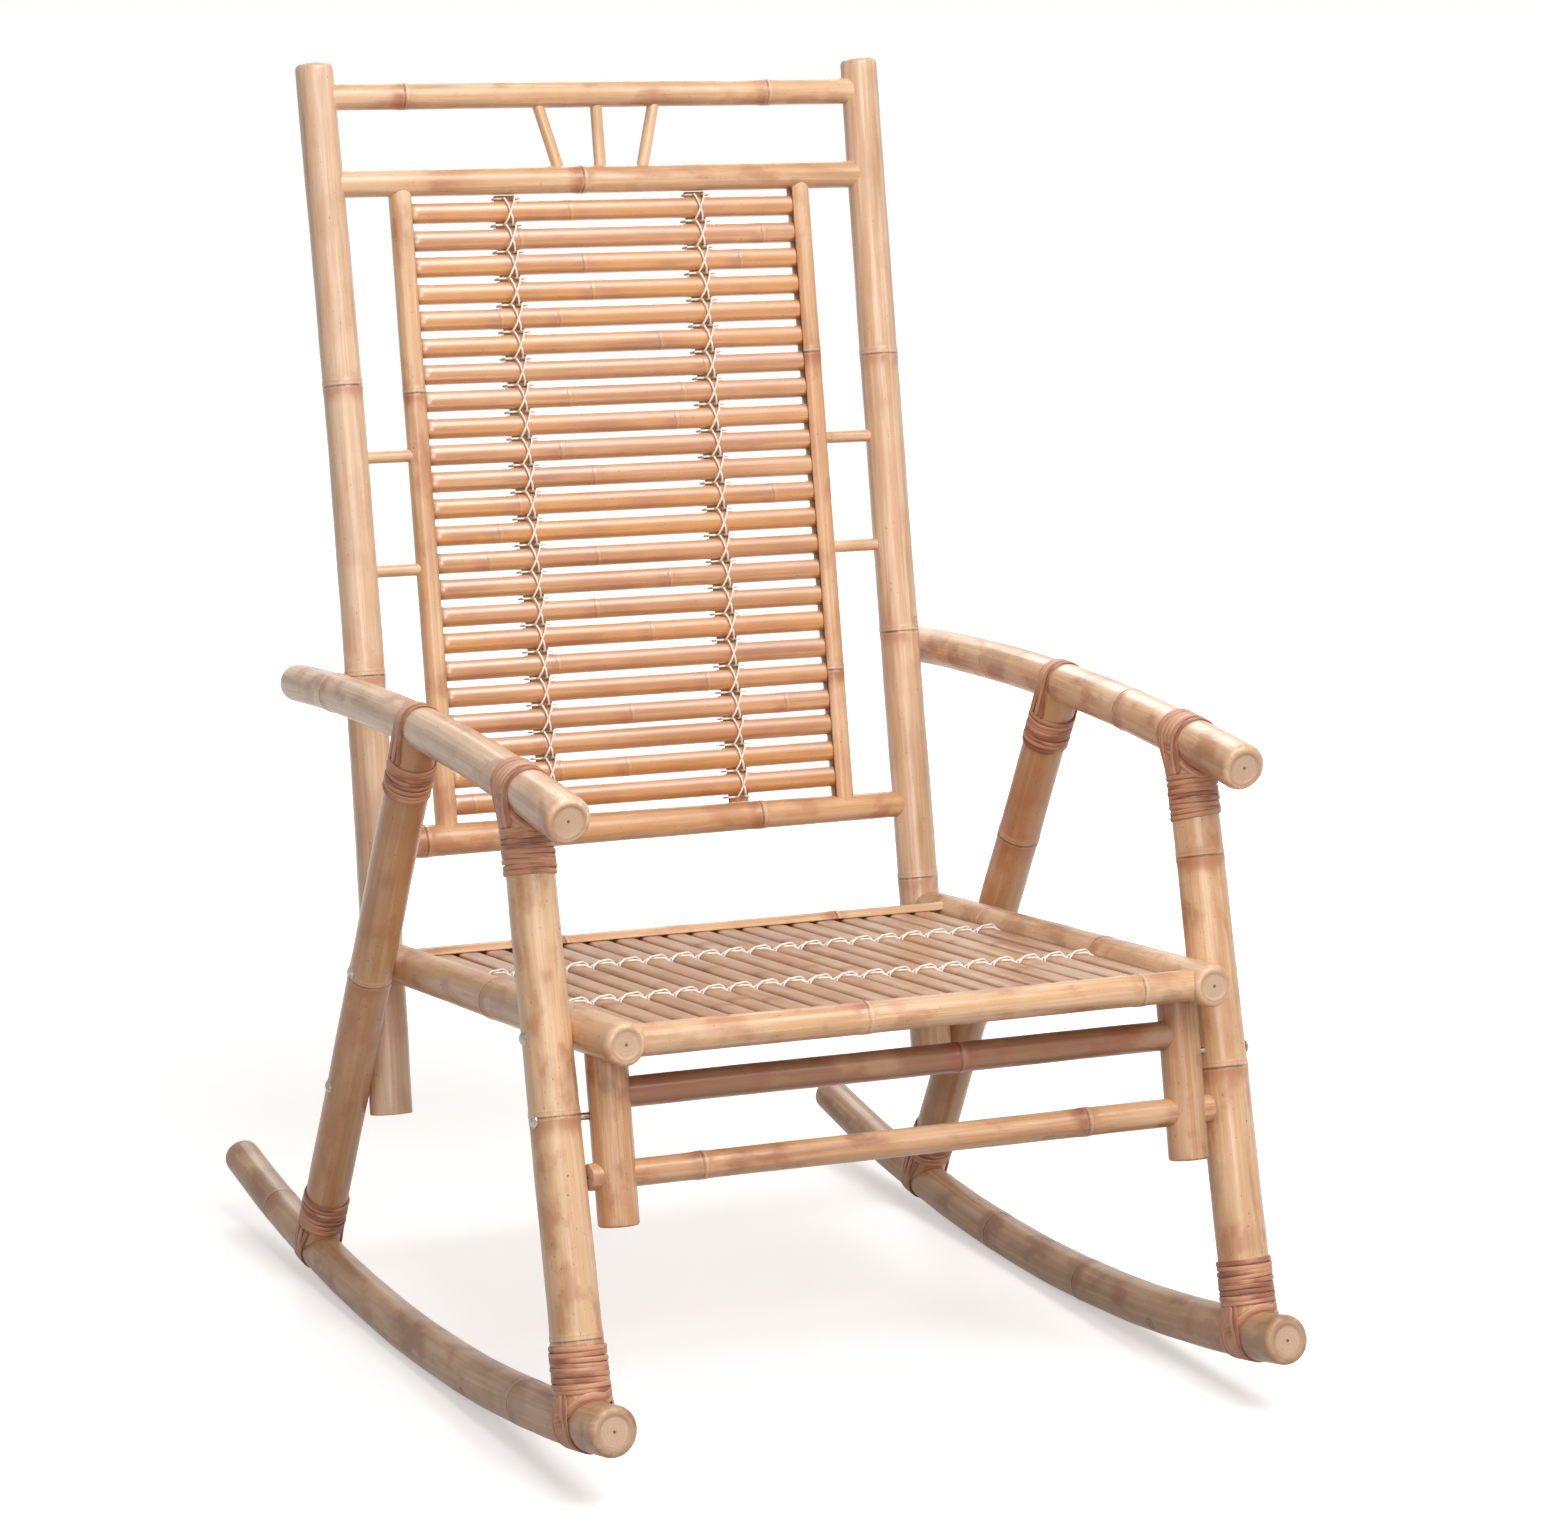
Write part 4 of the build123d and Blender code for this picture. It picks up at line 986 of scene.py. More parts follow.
def build_all(shop: Workshop, culms: list[Culm]) -> None:
    """Makes the pieces of several culms, in order."""
    for culm in culms:
        culm.build(shop)


def leg_joint(bow: Bow, back: float) -> tuple[Array, Array, float]:
    """The place, direction and radius of a bow where a leg meets it.

    Args:
        bow: The arm or rocker.
        back: Distance behind the datum.

    Returns:
        The axis point, the axis direction and the radius.
    """
    along = np.array([DATUM_Y + back - bow.start[1]])
    direction, _, _ = bow.frames(along)
    return bow.centres(along)[0], direction[0], float(bow.radius(along)[0])


@dataclass(frozen=True)
class LegSizes:
    """A leg's joints behind the datum and its radii, with the node rings and the tone on each side."""

    place: LegPlace
    foot_back: float
    head_back: float
    radii: tuple[float, float]
    rings: tuple[tuple[float, ...], tuple[float, ...]]
    tones: tuple[float, float]


@dataclass(frozen=True)
class Joint:
    """A leg's end on a rocker or under an arm."""

    carrier: Carrier
    place: LegPlace
    side: Side
    leg: Culm
    bow: Bow


@dataclass
class SideFrame:
    """One side: a rocker, an arm and the two legs between them."""

    side: Side
    rocker_back: tuple[float, float] = (-0.462, 0.415)
    rocker_radii: tuple[float, float] = (0.021, 0.0165)
    rocker_rings: tuple[tuple[float, ...], ...] = ((-0.2885, 0.3015), (-0.1235, 0.0485))
    rocker_scars: tuple[Point, Point] = ((0.277, 2.6, 0.0052), (0.2, 2.7, 0.005))
    rocker_tones: tuple[float, float] = (0.2, 0.55)
    rocker_ridge: float = 0.0003
    sole_radius: float = 2.12
    sole_centre_height: float = 2.1197877
    sole_back: float = -0.0091
    arm_back: tuple[float, float] = (-0.353, 0.268)
    arm_radii: tuple[float, float] = (0.0202, 0.0166)
    arm_rings: tuple[tuple[float, ...], ...] = ((0.1615,), (-0.1585,))
    arm_scars: tuple[Point, Point] = ((0.2, 1.9, 0.0045), (0.46, 2.2, 0.0045))
    arm_tones: tuple[float, float] = (0.35, 0.65)
    arm_arc_radius: float = 3.0
    arm_crown_back: float = -0.045
    arm_crown_height: float = 0.556
    end_rim: float = 0.0055
    # The rear legs' high tones darken them: partly their own colour, partly painted shade under the seat
    legs: tuple[LegSizes, ...] = (
        LegSizes(LegPlace.FRONT, -0.403, -0.2565, (0.0219, 0.0201), ((0.067, 0.246), (0.228, 0.409)),
                 (0.1, 0.48)),
        LegSizes(LegPlace.REAR, 0.209, -0.0315, (0.0191, 0.0191), ((0.312,), (0.409,)), (0.82, 0.92)))

    def bow(self, carrier: Carrier, finish: Finish, backs: tuple[float, float], radii: tuple[float, float],
            rings: tuple[float, ...], scar: Point, **more: object) -> Bow:
        """A rocker or an arm.

        Args:
            carrier: Which of the two.
            finish: Its finish.
            backs: Its ends, behind the datum.
            radii: Its radii at the front and the rear end.
            rings: Node rings, behind the datum.
            scar: A scar's place along it, its turn and its size.
            **more: Further fields of the bow.

        Returns:
            The bow.
        """
        x = self.side.value * SIDE_X
        word, side_word = carrier.word, self.side.word
        return Bow(f"{side_word}_{word}", f"{word}_{side_word}", finish, (x, DATUM_Y + backs[0], 0.0),
                   (x, DATUM_Y + backs[1], 0.0), radii, tuple(ring - backs[0] for ring in rings),
                   (self.end_rim, self.end_rim), (scar,), **more)

    def rocker(self) -> Bow:
        """The rocker."""
        return self.bow(Carrier.ROCKER, Finish.ROCKER, self.rocker_back, self.rocker_radii,
                        self.side.of(self.rocker_rings), self.side.of(self.rocker_scars),
                        ridge=self.rocker_ridge, tone=self.side.of(self.rocker_tones),
                        centre_y=DATUM_Y + self.sole_back, centre_z=self.sole_centre_height,
                        arc_radius=self.sole_radius, sole=True)

    def arm(self) -> Bow:
        """The arm."""
        return self.bow(Carrier.ARM, Finish.ARM, self.arm_back, self.arm_radii,
                        self.side.of(self.arm_rings), self.side.of(self.arm_scars),
                        tone=self.side.of(self.arm_tones), centre_y=DATUM_Y + self.arm_crown_back,
                        centre_z=self.arm_crown_height - self.arm_arc_radius,
                        arc_radius=self.arm_arc_radius)

    def leg(self, sizes: LegSizes, rocker: Bow, arm: Bow) -> Culm:
        """A leg, seated on the rocker and under the arm.

        Args:
            sizes: Its sizes.
            rocker: The rocker.
            arm: The arm.

        Returns:
            The culm.
        """
        foot, foot_direction, foot_radius = leg_joint(rocker, sizes.foot_back)
        head, head_direction, head_radius = leg_joint(arm, sizes.head_back)
        word, side_word = sizes.place.word, self.side.word
        return Culm(f"{side_word}_{word}_leg", f"{word}_leg_{side_word}", Finish.LEG, tuple(foot),
                    tuple(head), sizes.radii, self.side.of(sizes.rings),
                    saddles=(Saddle(foot_radius, tuple(foot_direction)),
                             Saddle(head_radius, tuple(head_direction))), tone=self.side.of(sizes.tones))

    def build(self, shop: Workshop) -> list[Joint]:
        """Makes the pieces.

        Args:
            shop: The workshop.

        Returns:
            The leg ends to bind.
        """
        rocker, arm = self.rocker(), self.arm()
        legs = [self.leg(sizes, rocker, arm) for sizes in self.legs]
        build_all(shop, [rocker, arm, *legs])
        return [Joint(carrier, sizes.place, self.side, leg, bow) for sizes, leg in zip(self.legs, legs)
                for carrier, bow in ((Carrier.ROCKER, rocker), (Carrier.ARM, arm))]


# Cane lashings
def band_grid(path: Array, outward: Array, half_width: float, half_thickness: float, tone: float,
              columns: int = 10) -> tuple[Array, dict[str, Array]]:
    """A flattened strand along a path: an ellipse, wide across the path and thin outwards.

    Args:
        path: Path points, n by 3.
        outward: Directions away from what it lies on, n by 3.
        half_width: Half its width.
        half_thickness: Half its thickness.
        tone: Its tone.
        columns: Points round it.

    Returns:
        Points, rows by columns by 3, and the finish's values.
    """
    tangent = unit(np.gradient(path, axis=0))
    normal = unit(outward - np.sum(outward * tangent, axis=1, keepdims=True) * tangent)
    across = np.cross(normal, tangent)
    along = np.concatenate([[0.0], np.cumsum(np.linalg.norm(np.diff(path, axis=0), axis=1))])
    angles = np.arange(columns) * 2 * np.pi / columns
    share = np.ones(len(path))
    share[[0, -1]] = 0.0
    share[[1, -2]] = 0.8
    wide = half_width * np.cos(angles) * share[:, None]
    thick = half_thickness * np.sin(angles) * share[:, None]
    points = path[:, None] + wide[..., None] * across[:, None] + thick[..., None] * normal[:, None]
    grain = np.stack([wide, thick, np.broadcast_to(along[:, None], wide.shape)], axis=-1)
    return points, {"grain": grain, "tone": np.full(wide.shape, tone)}


def rounded_path(route: Array, radius: float, pieces: int) -> Array:
    """A route with its corners rounded.

    Each corner gives way to a quadratic curve between a point before it and a point after it, both a
    radius away, or half way to the next corner where that is nearer.

    Args:
        route: Corners, n by 3.
        radius: How far from each corner the rounding starts.
        pieces: Parts of each curve.

    Returns:
        The points of the path.
    """
    legs = np.diff(route, axis=0)
    lengths = np.linalg.norm(legs, axis=1)
    directions = legs / lengths[:, None]
    reach = np.minimum(radius, 0.48 * np.minimum(lengths[:-1], lengths[1:]))[:, None]
    before = route[1:-1] - directions[:-1] * reach
    after = route[1:-1] + directions[1:] * reach
    share = np.linspace(0.0, 1.0, pieces + 1)[None, :, None]
    bends = ((1.0 - share) ** 2 * before[:, None] + 2.0 * share * (1.0 - share) * route[1:-1, None]
             + share ** 2 * after[:, None])
    return np.concatenate([route[:1], bends.reshape(-1, 3), route[-1:]])


@dataclass
class Lashing:
    """The cane that binds a leg's end: a winding round the leg and strands over the bow it meets."""

    joint: Joint
    turns: int
    over: tuple[float, ...]
    over_half_width: float
    crossing: int
    pitch: float = 0.0042
    half_width: float = 0.0022
    half_thickness: float = 0.0009
    crossing_half_width: float = 0.002
    crossing_step: float = 0.0036
    gap: float = 0.0002
    fan: float = 0.5

    def __post_init__(self) -> None:
        """Works out the joint's place and directions."""
        self.leg, self.bow = self.joint.leg, self.joint.bow
        self.at_head = self.joint.carrier is Carrier.ARM
        leg_start, leg_end = np.array(self.leg.start), np.array(self.leg.end)
        self.centre = leg_end if self.at_head else leg_start
        self.away = unit(leg_start - leg_end if self.at_head else leg_end - leg_start)
        along = np.array([self.centre[1] - self.bow.start[1]])
        self.bow_direction = self.bow.frames(along)[0][0]
        self.bow_radius = float(self.bow.radius(along)[0])
        skew = abs(float(self.away @ self.bow_direction))
        self.sine = math.sqrt(1.0 - skew ** 2)
        self.leg_radius = self.leg.radii[1] if self.at_head else self.leg.radii[0]
        outer = self.leg_radius + 2.0 * self.half_thickness
        self.start = (self.bow_radius + outer * skew) / self.sine + self.half_width + 0.0008
        self.across = np.cross(self.away, RIGHTWARD)

    def on_leg(self, angle: Array, below: Array, lift: float) -> tuple[Array, Array]:
        """Points on the leg's surface.

        Args:
            angle: Turns round the leg from its right side, in radians.
            below: Distances from the joint along the leg.
            lift: Height above the surface.

        Returns:
            The points and the outward directions.
        """
        outward = np.cos(angle)[:, None] * RIGHTWARD + np.sin(angle)[:, None] * self.across
        return self.centre + self.away * below[:, None] + outward * (self.leg_radius + lift), outward

    def winding(self) -> tuple[Array, dict[str, Array]]:
        """The winding: a helix round the leg whose rise and depth waver a little."""
        angle = np.linspace(0.0, 2 * np.pi * self.turns, self.turns * 40 + 1)
        phase = self.leg.tone * 30.0 + (5.0 if self.at_head else 0.0)
        waver = 0.0006 * np.sin(angle * 0.83 + phase) + 0.0004 * np.sin(angle * 1.31 + 2.0 * phase)
        below = self.start + self.pitch * angle / (2 * np.pi) + waver
        path, outward = self.on_leg(self.joint.side.value * angle, below, self.half_thickness + self.gap)
        depth = 0.00025 * np.sin(angle * 0.61 + phase)[:, None]
        return band_grid(path + outward * depth, outward, self.half_width, self.half_thickness, 0.3)

    def clear(self, angle: Array, lift: float) -> Array:
        """How far down the leg its surface comes out from under the bow.

        The leg's point at an angle is off the bow's axis by its sideways place and by its depth, whose
        squares add up to the squared radius where it comes out.

        Args:
            angle: Angles round the leg.
            lift: Height above both surfaces.

        Returns:
            The distances below the joint.
        """
        down = unit(self.away - (self.away @ self.bow_direction) * self.bow_direction)
        aside = (self.leg_radius + lift) * np.cos(angle)
        depth = np.sqrt(np.maximum((self.bow_radius + lift) ** 2 - aside ** 2, 0.0))
        own = (self.leg_radius + lift) * np.sin(angle) * (self.across @ down)
        return (depth - own) / (self.away @ down)

    def strand_over(self, offset: float, spread: float) -> Array:
        """A strand's route over the bow, from the winding on one side to the winding on the other.

        Args:
            offset: Place along the bow where it goes over.
            spread: Turn of its tails round the leg, from the sides.

        Returns:
            The route's corners.
        """
        lift = self.half_thickness + self.gap
        high = self.bow_radius + lift
        shift = self.bow_direction * offset / self.sine
        up = -unit(self.away - (self.away @ self.bow_direction) * self.bow_direction)
        arc = np.linspace(math.pi, 0.0, 13)[:, None]
        over = self.centre + shift + (np.cos(arc) * RIGHTWARD + np.sin(arc) * up) * high
        tail = self.start - self.half_width
        wide = max(high, self.leg_radius + lift)
        below = np.array([tail * 0.4, tail * 0.7, tail * 0.92, tail + 0.004])
        toward = np.array([0.35, 0.75, 1.0, 1.0])[:, None]
        left_leg, _ = self.on_leg(np.full(4, math.pi - spread), below, lift)
        straight = self.centre + shift + self.away * below[:, None] - RIGHTWARD * wide
        left = straight * (1.0 - toward) + left_leg * toward
        right = left.copy()
        right[:, 0] = 2.0 * self.centre[0] - left[:, 0]
        return np.concatenate([left[::-1], over, right])

    def strand_across(self, step: float) -> Array:
        """A strand's route that slants across the leg's front, from close under the bow to the winding.

        Args:
            step: Its place in the bundle.

        Returns:
            The route's corners.
        """
        lift = self.half_thickness + self.gap + 0.0005
        front = -np.sign(self.across[1])
        angle = np.linspace(math.pi + 0.3, -0.3, 17) * front
        fall = np.linspace(0.0, 1.0, 17) ** 1.2
        low = self.start + 0.0035
        high = float(self.clear(angle[:1], lift)[0]) + 0.004
        line = high + (low - high) * fall + step
        below = np.maximum(line, self.clear(angle, lift) + self.half_width + step * 0.6)
        return self.on_leg(angle, below, lift)[0]

    def outward_at(self, path: Array) -> Array:
        """Directions away from the joint's two axes: the bow's near it and the leg's further down."""
        relative = path - self.centre
        from_bow = relative - (relative @ self.bow_direction)[:, None] * self.bow_direction
        from_leg = relative - (relative @ self.away)[:, None] * self.away
        share = smooth_share((relative @ self.away) / (0.9 * self.bow_radius))[:, None]
        return unit(unit(from_bow) * (1.0 - share) + unit(from_leg) * share)

    def build(self, shop: Workshop) -> Shell:
        """Makes the winding's piece and gathers the strands.

        Args:
            shop: The workshop.

        Returns:
            A shell with the strands over and across.
        """
        word, side_word = f"{self.joint.carrier.word}_{self.joint.place.word}", self.joint.side.word
        wound = Shell()
        wound.add(*self.winding())
        shop.place(wound.piece(f"wound_{word}_{side_word}", shop.box), Finish.CANE,
                   f"{word}_binding_{side_word}")
        strands = Shell()
        middle = (len(self.over) - 1) / 2
        for place, offset in enumerate(self.over):
            spread = self.fan * (place - middle) / middle * np.sign(self.across[1])
            path = rounded_path(self.strand_over(offset, spread), 0.004, 4)
            strands.add(*band_grid(path, self.outward_at(path), self.over_half_width, self.half_thickness,
                                   (0.37 * place + 0.2) % 1.0))
        for place in range(self.crossing):
            step = self.crossing_step * (place - (self.crossing - 1) / 2)
            path = rounded_path(self.strand_across(step), 0.003, 3)
            strands.add(*band_grid(path, self.outward_at(path), self.crossing_half_width,
                                   self.half_thickness, (0.53 * place + 0.6) % 1.0))
        return strands


@dataclass
class Lashings:
    """All the cane of the eight leg ends. Pairs give the front legs' value first."""

    turns: tuple[int, int] = (9, 8)
    over: tuple[tuple[float, ...], ...] = ((-0.0135, -0.008, -0.0025, 0.003, 0.0085, 0.014),
                                           (-0.0065, -0.0022, 0.0022, 0.0065))
    over_half_width: tuple[float, float] = (0.0028, 0.0024)
    crossing: tuple[int, int] = (3, 0)

    def __post_init__(self) -> None:
        """Starts with no strands gathered."""
        self.strands = {carrier: Shell() for carrier in Carrier}

    def wind(self, shop: Workshop, joints: list[Joint]) -> None:
        """Makes the windings of one side and gathers its strands.

        Args:
            shop: The workshop.
            joints: The side's leg ends.
        """
        for joint in joints:
            place = joint.place
            lashing = Lashing(joint, place.of(self.turns), place.of(self.over),
                              place.of(self.over_half_width), place.of(self.crossing))
            self.strands[joint.carrier].join(lashing.build(shop))

    def build(self, shop: Workshop) -> None:
        """Makes the pieces of the gathered strands."""
        for carrier, strands in self.strands.items():
            shop.place(strands.piece(f"strands_over_{carrier.word}s", shop.box), Finish.CANE,
                       f"{carrier.word}_straps")


# Slats
@dataclass
class SlatPanel:
    """Half-round slats side by side, each with its own tone, nodes and small unevenness."""

    name: str
    node: str
    finish: Finish
    count: int
    first: Point
    step: Point
    along: Point
    raised: Point
    length: float
    width: float
    thickness: float
    seed: int
    uneven: float = 0.0004
    squareness: float = 0.85
    # How far up a slat's sides, in shares of its thickness, the painted shade of the gaps reaches
    shade_reach: float = 0.35
    narrower: float = 0.03

    def outline(self, width: float) -> Array:
        """A slat's section: a flat underside, and over it an arc squared towards its box.

        Half the width times a power of the angle's sine, and the thickness times that of its cosine.
        """
        turn = np.linspace(-0.97, 0.97, 19) * np.pi / 2
        crown = np.stack([width / 2 * np.sign(turn) * np.abs(np.sin(turn)) ** self.squareness,
                          self.thickness * np.cos(turn) ** self.squareness], axis=-1)
        base = np.array([[0.47, 0.0], [0.25, 0.0], [0.0, 0.0], [-0.25, 0.0], [-0.47, 0.0]]) * width
        return np.concatenate([crown[::-1], base[::-1]])

    def rows(self, nodes: Array) -> Array:
        """Distances of the grid's rows along a slat, closer at its nodes, with each end given twice."""
        rows = np.arange(0.0, self.length, SLAT_STEP)
        for node in nodes:
            rows = np.concatenate([rows, node + NODE_OFFSETS[::2], node - NODE_OFFSETS[::2]])
        rows = np.unique(np.clip(np.append(rows, self.length), 0.0, self.length))
        rows = rows[np.concatenate([[True], np.diff(rows) > LEAST_STEP])]
        return np.concatenate([[0.0, 0.0], rows[1:-1], [self.length, self.length]])

    def slat(self, random: np.random.Generator, index: int) -> tuple[Array, dict[str, Array]]:
        """A slat: its section swells and narrows at its nodes, and it is a little turned, shifted and bowed.

        Args:
            random: The panel's random numbers.
            index: The slat's place in the panel.

        Returns:
            Points, rows by columns by 3, and the finish's values.
        """
        along, raised = np.array(self.along), np.array(self.raised)
        across = np.cross(raised, along)
        tone, roll, rise, bow, taper = random.uniform(-1.0, 1.0, 5)
        nodes = np.sort(random.uniform(0.05, 0.95, random.integers(1, 3))) * self.length
        rows = self.rows(nodes)
        section = self.outline(self.width * (1.0 - self.narrower * abs(taper)))
        swell = np.ones(len(rows))
        for node in nodes:
            swell += 0.022 * np.exp(-((rows - node) / 0.005) ** 2)
            swell -= 0.018 * np.exp(-((rows - node) / 0.0008) ** 2)
        swell[[0, -1]] = 0.0
        wide = section[:, 0] * swell[:, None]
        high = section[:, 1] * swell[:, None]
        cosine, sine = math.cos(0.03 * roll), math.sin(0.03 * roll)
        wave = self.uneven * (rise + bow * np.sin(np.pi * rows / self.length))
        origin = np.array(self.first) + np.array(self.step) * index
        middle = origin + along * (rows - self.length / 2)[:, None] + across * wave[:, None]
        points = (middle[:, None] + (wide * cosine - high * sine)[..., None] * across
                  + (wide * sine + high * cosine)[..., None] * raised)
        place = np.broadcast_to(rows[:, None], wide.shape)
        split = np.where(section[:, 1] < 1e-6, 0.6, 0.0)
        # Painted shade on the slats' sides, for the shade in the gaps between them; the flat underside is
        # left clear
        gap_shade = 0.9 * smooth_share(1.0 - section[:, 1] / (self.shade_reach * self.thickness)) * (split < 0.5)
        return points, {"grain": np.stack([wide, high, place], axis=-1),
                        "ring": ring_field(place, nodes, np.broadcast_to(split, wide.shape)),
                        "scar": np.full(points.shape, FAR_SCAR),
                        "tone": np.full(wide.shape, 0.5 + 0.5 * tone),
                        "shade": np.broadcast_to(gap_shade, wide.shape)}

    def build(self, shop: Workshop) -> None:
        """Makes the panel as one piece."""
        random = np.random.default_rng(self.seed)
        shell = Shell()
        for index in range(self.count):
            shell.add(*self.slat(random, index))
        shop.place(shell.piece(self.name, shop.box), self.finish, self.node)


# Cord lacing
@dataclass
class Lacing:
    """Two cords that cross over each slat and go round the batten in each gap."""

    name: str
    node: str
    origin: Array
    along: Array
    across: Array
    raised: Array
    crest: float
    under: float
    first_gap: float
    pitch: float
    count: int
    diameter: float = 0.0019
    clearance: float = 0.00025
    half_cross: float = 0.0034
    batten_width: float = 0.019
    batten_thickness: float = 0.005
    seat_gap: float = 0.0003
    bend: float = 0.0016
    columns: int = 7
    ply: float = 0.1
    twist: float = 2100.0

    def route(self, layer: int) -> Array:
        """One cord's control points.

        Args:
            layer: 0 next to the slats, or 1 over the other cord.

        Returns:
            Control points, n by 3.
        """
        spread = self.diameter + self.clearance
        free = self.diameter / 2 + self.clearance
        hand = 1.0 if layer else -1.0
        reach = hand * (self.half_cross + layer * spread)
        front = self.under - self.seat_gap + free + layer * spread
        rear = self.under - self.seat_gap - self.batten_thickness - free - layer * spread
        edge = hand * (self.batten_width / 2 + free + layer * spread)
        crown = self.crest + free + layer * spread
        rise = crown - 0.0036
        shoulder = 0.26 * self.pitch
        slant = reach * 0.52
        step = np.array([[-edge, 0.0, rear], [-edge, 0.0, front], [-reach, 0.0, front], [-reach, 0.0, rise],
                         [-slant, self.pitch / 2 - shoulder, crown],
                         [slant, self.pitch / 2 + shoulder, crown],
                         [reach, self.pitch, rise], [reach, self.pitch, front], [edge, self.pitch, front],
                         [edge, self.pitch, rear]])
        places = self.first_gap + self.pitch * np.arange(self.count)
        steps = np.repeat(step[None], self.count, axis=0)
        steps[:, :, 1] += places[:, None]
        last = self.first_gap + self.pitch * self.count
        local = np.concatenate([[[0.0, self.first_gap, rear]], steps.reshape(-1, 3), [[0.0, last, rear]]])
        return (self.origin + local[:, :1] * self.across + local[:, 1:2] * self.along
                + local[:, 2:] * self.raised)

    def tube(self, layer: int) -> Array:
        """One cord as a twisted tube: its radius swells twice round, and the swelling turns along it.

        Args:
            layer: Which cord.

        Returns:
            Points, rows by columns by 3.
        """
        path = rounded_path(self.route(layer), self.bend, 3)
        tangent = unit(np.gradient(path, axis=0))
        oblique = self.raised + 0.37 * self.across
        first = unit(oblique - (tangent @ oblique)[:, None] * tangent)
        second = np.cross(tangent, first)
        along = np.concatenate([[0.0], np.cumsum(np.linalg.norm(np.diff(path, axis=0), axis=1))])
        angles = np.arange(self.columns) * 2 * np.pi / self.columns
        swell = 1.0 + self.ply * np.cos(2.0 * angles[None, :] - along[:, None] * self.twist)
        radius = self.diameter / 2 * swell
        radius[[0, -1]] = 0.0
        return (path[:, None] + (radius * np.cos(angles))[..., None] * first[:, None]
                + (radius * np.sin(angles))[..., None] * second[:, None])

    def build(self, shop: Workshop) -> None:
        """Makes both cords as one piece."""
        shell = Shell()
        for layer in (0, 1):
            shell.add(self.tube(layer), {})
        shop.place(shell.piece(self.name, shop.box), Finish.CORD, self.node)


# Back and seat
def on_posts(x: float, along: float, forward: float = 0.0) -> Point:
    """A point of the back: at x, along the posts from their feet, and forward of their axes."""
    return tuple(POST_FOOT + RIGHTWARD * x + POST_ALONG * along + POST_FORWARD * forward)


def seat_place(x: float, back: float, raised: float = 0.0) -> Point:
    """A point of the seat: at x, behind the datum, and above the rails' axes."""
    height = SEAT_FRONT_HEIGHT - SEAT_SLOPE * (back - SEAT_FRONT_BACK)
    return tuple(np.array([x, DATUM_Y + back, height]) + SEAT_RAISED * raised)


def mirrored(place: Point, side: Side) -> Point:
    """A place on the right side, moved to the side that is wanted."""
    return (side.value * place[0], place[1], place[2])


@dataclass(frozen=True)
class Crosspiece:
    """The sizes of a culm along X, with its node rings' places from the chair's middle."""

    name: str
    node: str
    finish: Finish
    half: float
    y: float
    z: float
    radii: tuple[float, float]
    rings: tuple[float, ...]
    tone: float
    groove: Groove | None = None
    reference: Point = (0.0, 1.0, 0.0)
    rims: tuple[float, float] = (0.0008, 0.0008)

    def culm(self) -> Culm:
        """The culm."""
        return Culm(self.name, self.node, self.finish, (-self.half, self.y, self.z),
                    (self.half, self.y, self.z), self.radii, tuple(ring + self.half for ring in self.rings),
                    self.rims, groove=self.groove, reference=self.reference, tone=self.tone)


